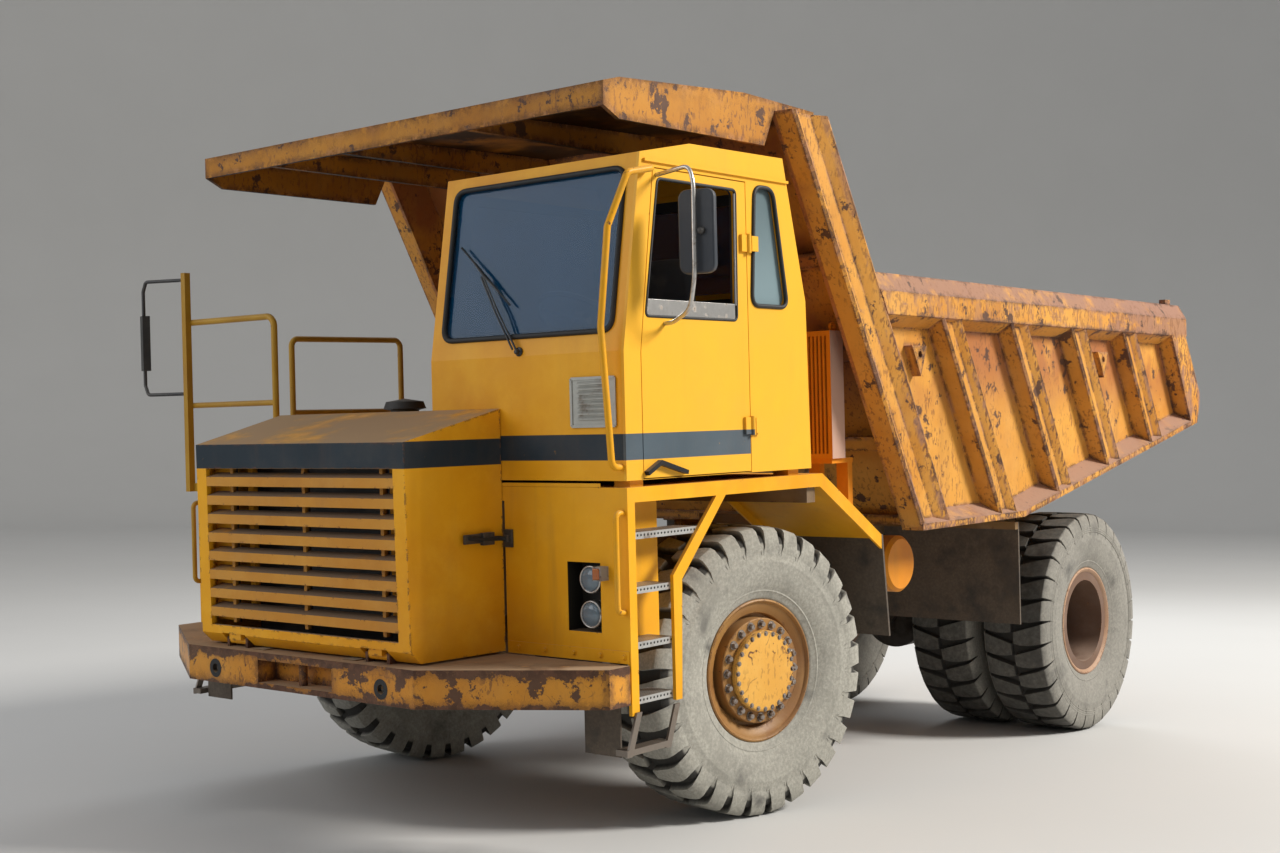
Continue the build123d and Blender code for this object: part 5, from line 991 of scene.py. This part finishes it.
# Mirror on the door: a bent tube and a rounded head with its clamp and glass
tube("mirror_arm", [(1.734, -1.15, 3.58), (1.79, -1.155, 3.585), (1.95, -1.17, 3.6), (1.985, -1.18, 3.52),
        (1.985, -1.186, 3.06), (1.925, -1.15, 2.905), (1.79, -1.118, 2.85), (1.734, -1.112, 2.848)],
    0.011, bright_steel, "door", bend=0.06)
MIRROR_AT = LEVEL @ Matrix.Translation((1.975, -1.136, 3.28)) @ Matrix.Rotation(radians(12), 4, "Z")
form = bmesh.new()
add_block(form, (-0.098, 0.098), (-0.026, 0.012), (-0.205, 0.205))
through = [edge for edge in form.edges if abs(edge.verts[0].co.y - edge.verts[1].co.y) > 0.02]
bmesh.ops.bevel(form, geom=through, offset=0.045, segments=6, profile=0.5, affect="EDGES")
head = piece("mirror_head", mesh_from("head", form), mirror_shell, "door", MIRROR_AT, 0.012)
head.modifiers["rounding"].segments = 4
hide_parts("mirror_left")
turned_piece("mirror_clamp", [(0.0, 0.02), (0.02, 0.018), (0.03, 0.01), (0.031, 0.0005)], black_paint, "door",
    MIRROR_AT @ facing_front(0.03, -0.024, 0.0), 0.002, 24)
block_piece("mirror_pane", [((-0.084, 0.084), (0.0115, 0.0145), (-0.19, 0.19))], mirror_glass, "door",
    0.0012, MIRROR_AT)


# Seat: a crowned cushion and backrest on a suspension foot
def cushion(name, size, crown, place, panels):
    """A padded form that swells between its edges, with sewn channels across it."""
    form = bmesh.new()
    bmesh.ops.create_cube(form, size=1.0)
    bmesh.ops.subdivide_edges(form, edges=form.edges, cuts=15, use_grid_fill=True)
    for point in form.verts:
        u, v, w = (2 * c for c in point.co)
        swell = (1 - abs(u) ** 4) * (1 - abs(v) ** 4)
        pinch = 1 - 0.1 * w ** 2 - 0.05 * abs(u * v) ** 3
        channel = 2 * abs((v + 1) / 2 * panels % 1 - 0.5)
        seam = max(0.0, 1 - 9 * channel) * (abs(u) < 0.8)
        rise = (crown * swell - 0.01 * seam) * (1 if w > 0 else 0.2)
        point.co = Vector((u * size[0] / 2 * pinch, v * size[1] / 2 * pinch, w * (size[2] / 2 + rise)))
    made = piece(name, mesh_from(name, form), seat_cloth, "chassis", place)
    softening = made.modifiers.new("softening", "SUBSURF")
    softening.levels = softening.render_levels = 1
    return made


SEAT_AT = LEVEL @ Matrix.Translation((1.13, -0.62, 2.128))
FOLD_COUNT = 7
seat_base = cushion("seat_cushion", (0.48, 0.47, 0.11), 0.016, SEAT_AT @ Matrix.Translation((0, -0.02, 0.43)), 3)
cushion("seat_back", (0.45, 0.62, 0.08), 0.014, SEAT_AT @ Matrix.Translation((0, 0.245, 0.815))
    @ Matrix.Rotation(radians(96), 4, "X"), 4)
foot = [((-0.17, 0.17), (-0.18, 0.18), (0.0, 0.05))]
for row in range(FOLD_COUNT):
    z = 0.06 + row * 0.042
    shrink = 0.02 * (row % 2)
    foot.append((around(0, 0.15 - shrink), around(0, 0.16 - shrink), (z - 0.012, z + 0.034)))
foot.append(((-0.21, 0.21), (-0.22, 0.2), (0.345, 0.385)))
block_piece("seat_foot", foot, trim_plastic, "chassis", 0.006, SEAT_AT)
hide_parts("seat")

# Studio: a round floor that sweeps up into a wall
FLOOR_R, COVE_R, WALL_H = 46.0, 14.0, 30.0
COVE_STEPS = 12
FLOOR_SIDES = 96
ground = Look("studio_floor")
tone = ground.mix(ground.noise(0.4, 3.0), (0.56, 0.56, 0.55), (0.53, 0.53, 0.52))
ground.finish(Base_Color=tone, Roughness=0.9, Normal=ground.bump(ground.noise(60.0), 0.05, 0.001))
sweep = [(0.0005, 0.0), (FLOOR_R, 0.0)]
for step in range(1, COVE_STEPS + 1):
    angle = step * pi / 2 / COVE_STEPS
    sweep.append((FLOOR_R + COVE_R * sin(angle), COVE_R * (1 - cos(angle))))
sweep.append((FLOOR_R + COVE_R, WALL_H))
form = bmesh.new()
rings = [[form.verts.new((radius * cos(turn), radius * sin(turn), height)) for turn in turns(FLOOR_SIDES)]
    for radius, height in sweep]
join_rings(form, rings)
floor_data = mesh_from("studio", form)
floor_data.materials.append(ground.material)
studio = add_object("studio", floor_data)
studio.location.z = CAD_BOX[0][2]

# Lights: name, place, what it points at, size, watts and colour
SOFTBOXES = (
    ("key", (21.0, 11.5, 18.0), (0, 0.5, 1.5), (7.0, 7.0), 11500, (1.0, 0.96, 0.9)),
    ("fill", (-6.0, -12.0, 6.0), (0, 0, 1.8), (8.0, 6.0), 420, (0.93, 0.96, 1.0)),
    ("back", (-5.0, 11.0, 9.0), (0, 1.0, 2.0), (7.0, 5.0), 500, (0.95, 0.97, 1.0)))
for name, place, target, size, watts, colour in SOFTBOXES:
    data = bpy.data.lights.new(name, "AREA")
    data.shape = "RECTANGLE"
    data.size, data.size_y = size
    data.energy = watts
    data.color = colour
    lamp = add_object(name, data)
    lamp.location = place
    lamp.rotation_euler = (Vector(target) - Vector(place)).to_track_quat("-Z", "Y").to_euler()

world = bpy.data.worlds.new("sky")
world.use_nodes = True
world.node_tree.nodes["Background"].inputs["Color"].default_value = (0.97, 0.97, 0.98, 1.0)
world.node_tree.nodes["Background"].inputs["Strength"].default_value = 0.5
SCENE.world = world
SCENE.view_settings.view_transform = "Standard"

# Camera at the photograph's place
CAMERA_PLACE = (6.8305, -9.353, 1.887)
YAW, PITCH, ROLL = radians(39.8), radians(1.6), radians(0.2)
forward = Vector((-sin(YAW) * cos(PITCH), cos(YAW) * cos(PITCH), sin(PITCH)))
right = Vector((cos(YAW), sin(YAW), 0))
above = right.cross(forward)
right, above = right * cos(ROLL) + above * sin(ROLL), above * cos(ROLL) - right * sin(ROLL)
turned = Matrix((right, above, -forward)).transposed().to_4x4()
lens_data = bpy.data.cameras.new("camera")
lens_data.sensor_width = 36.0
lens_data.lens = 46.18
lens_data.clip_end = 300
camera = add_object("camera", lens_data)
camera.matrix_world = Matrix.Translation(CAMERA_PLACE) @ turned
SCENE.camera = camera
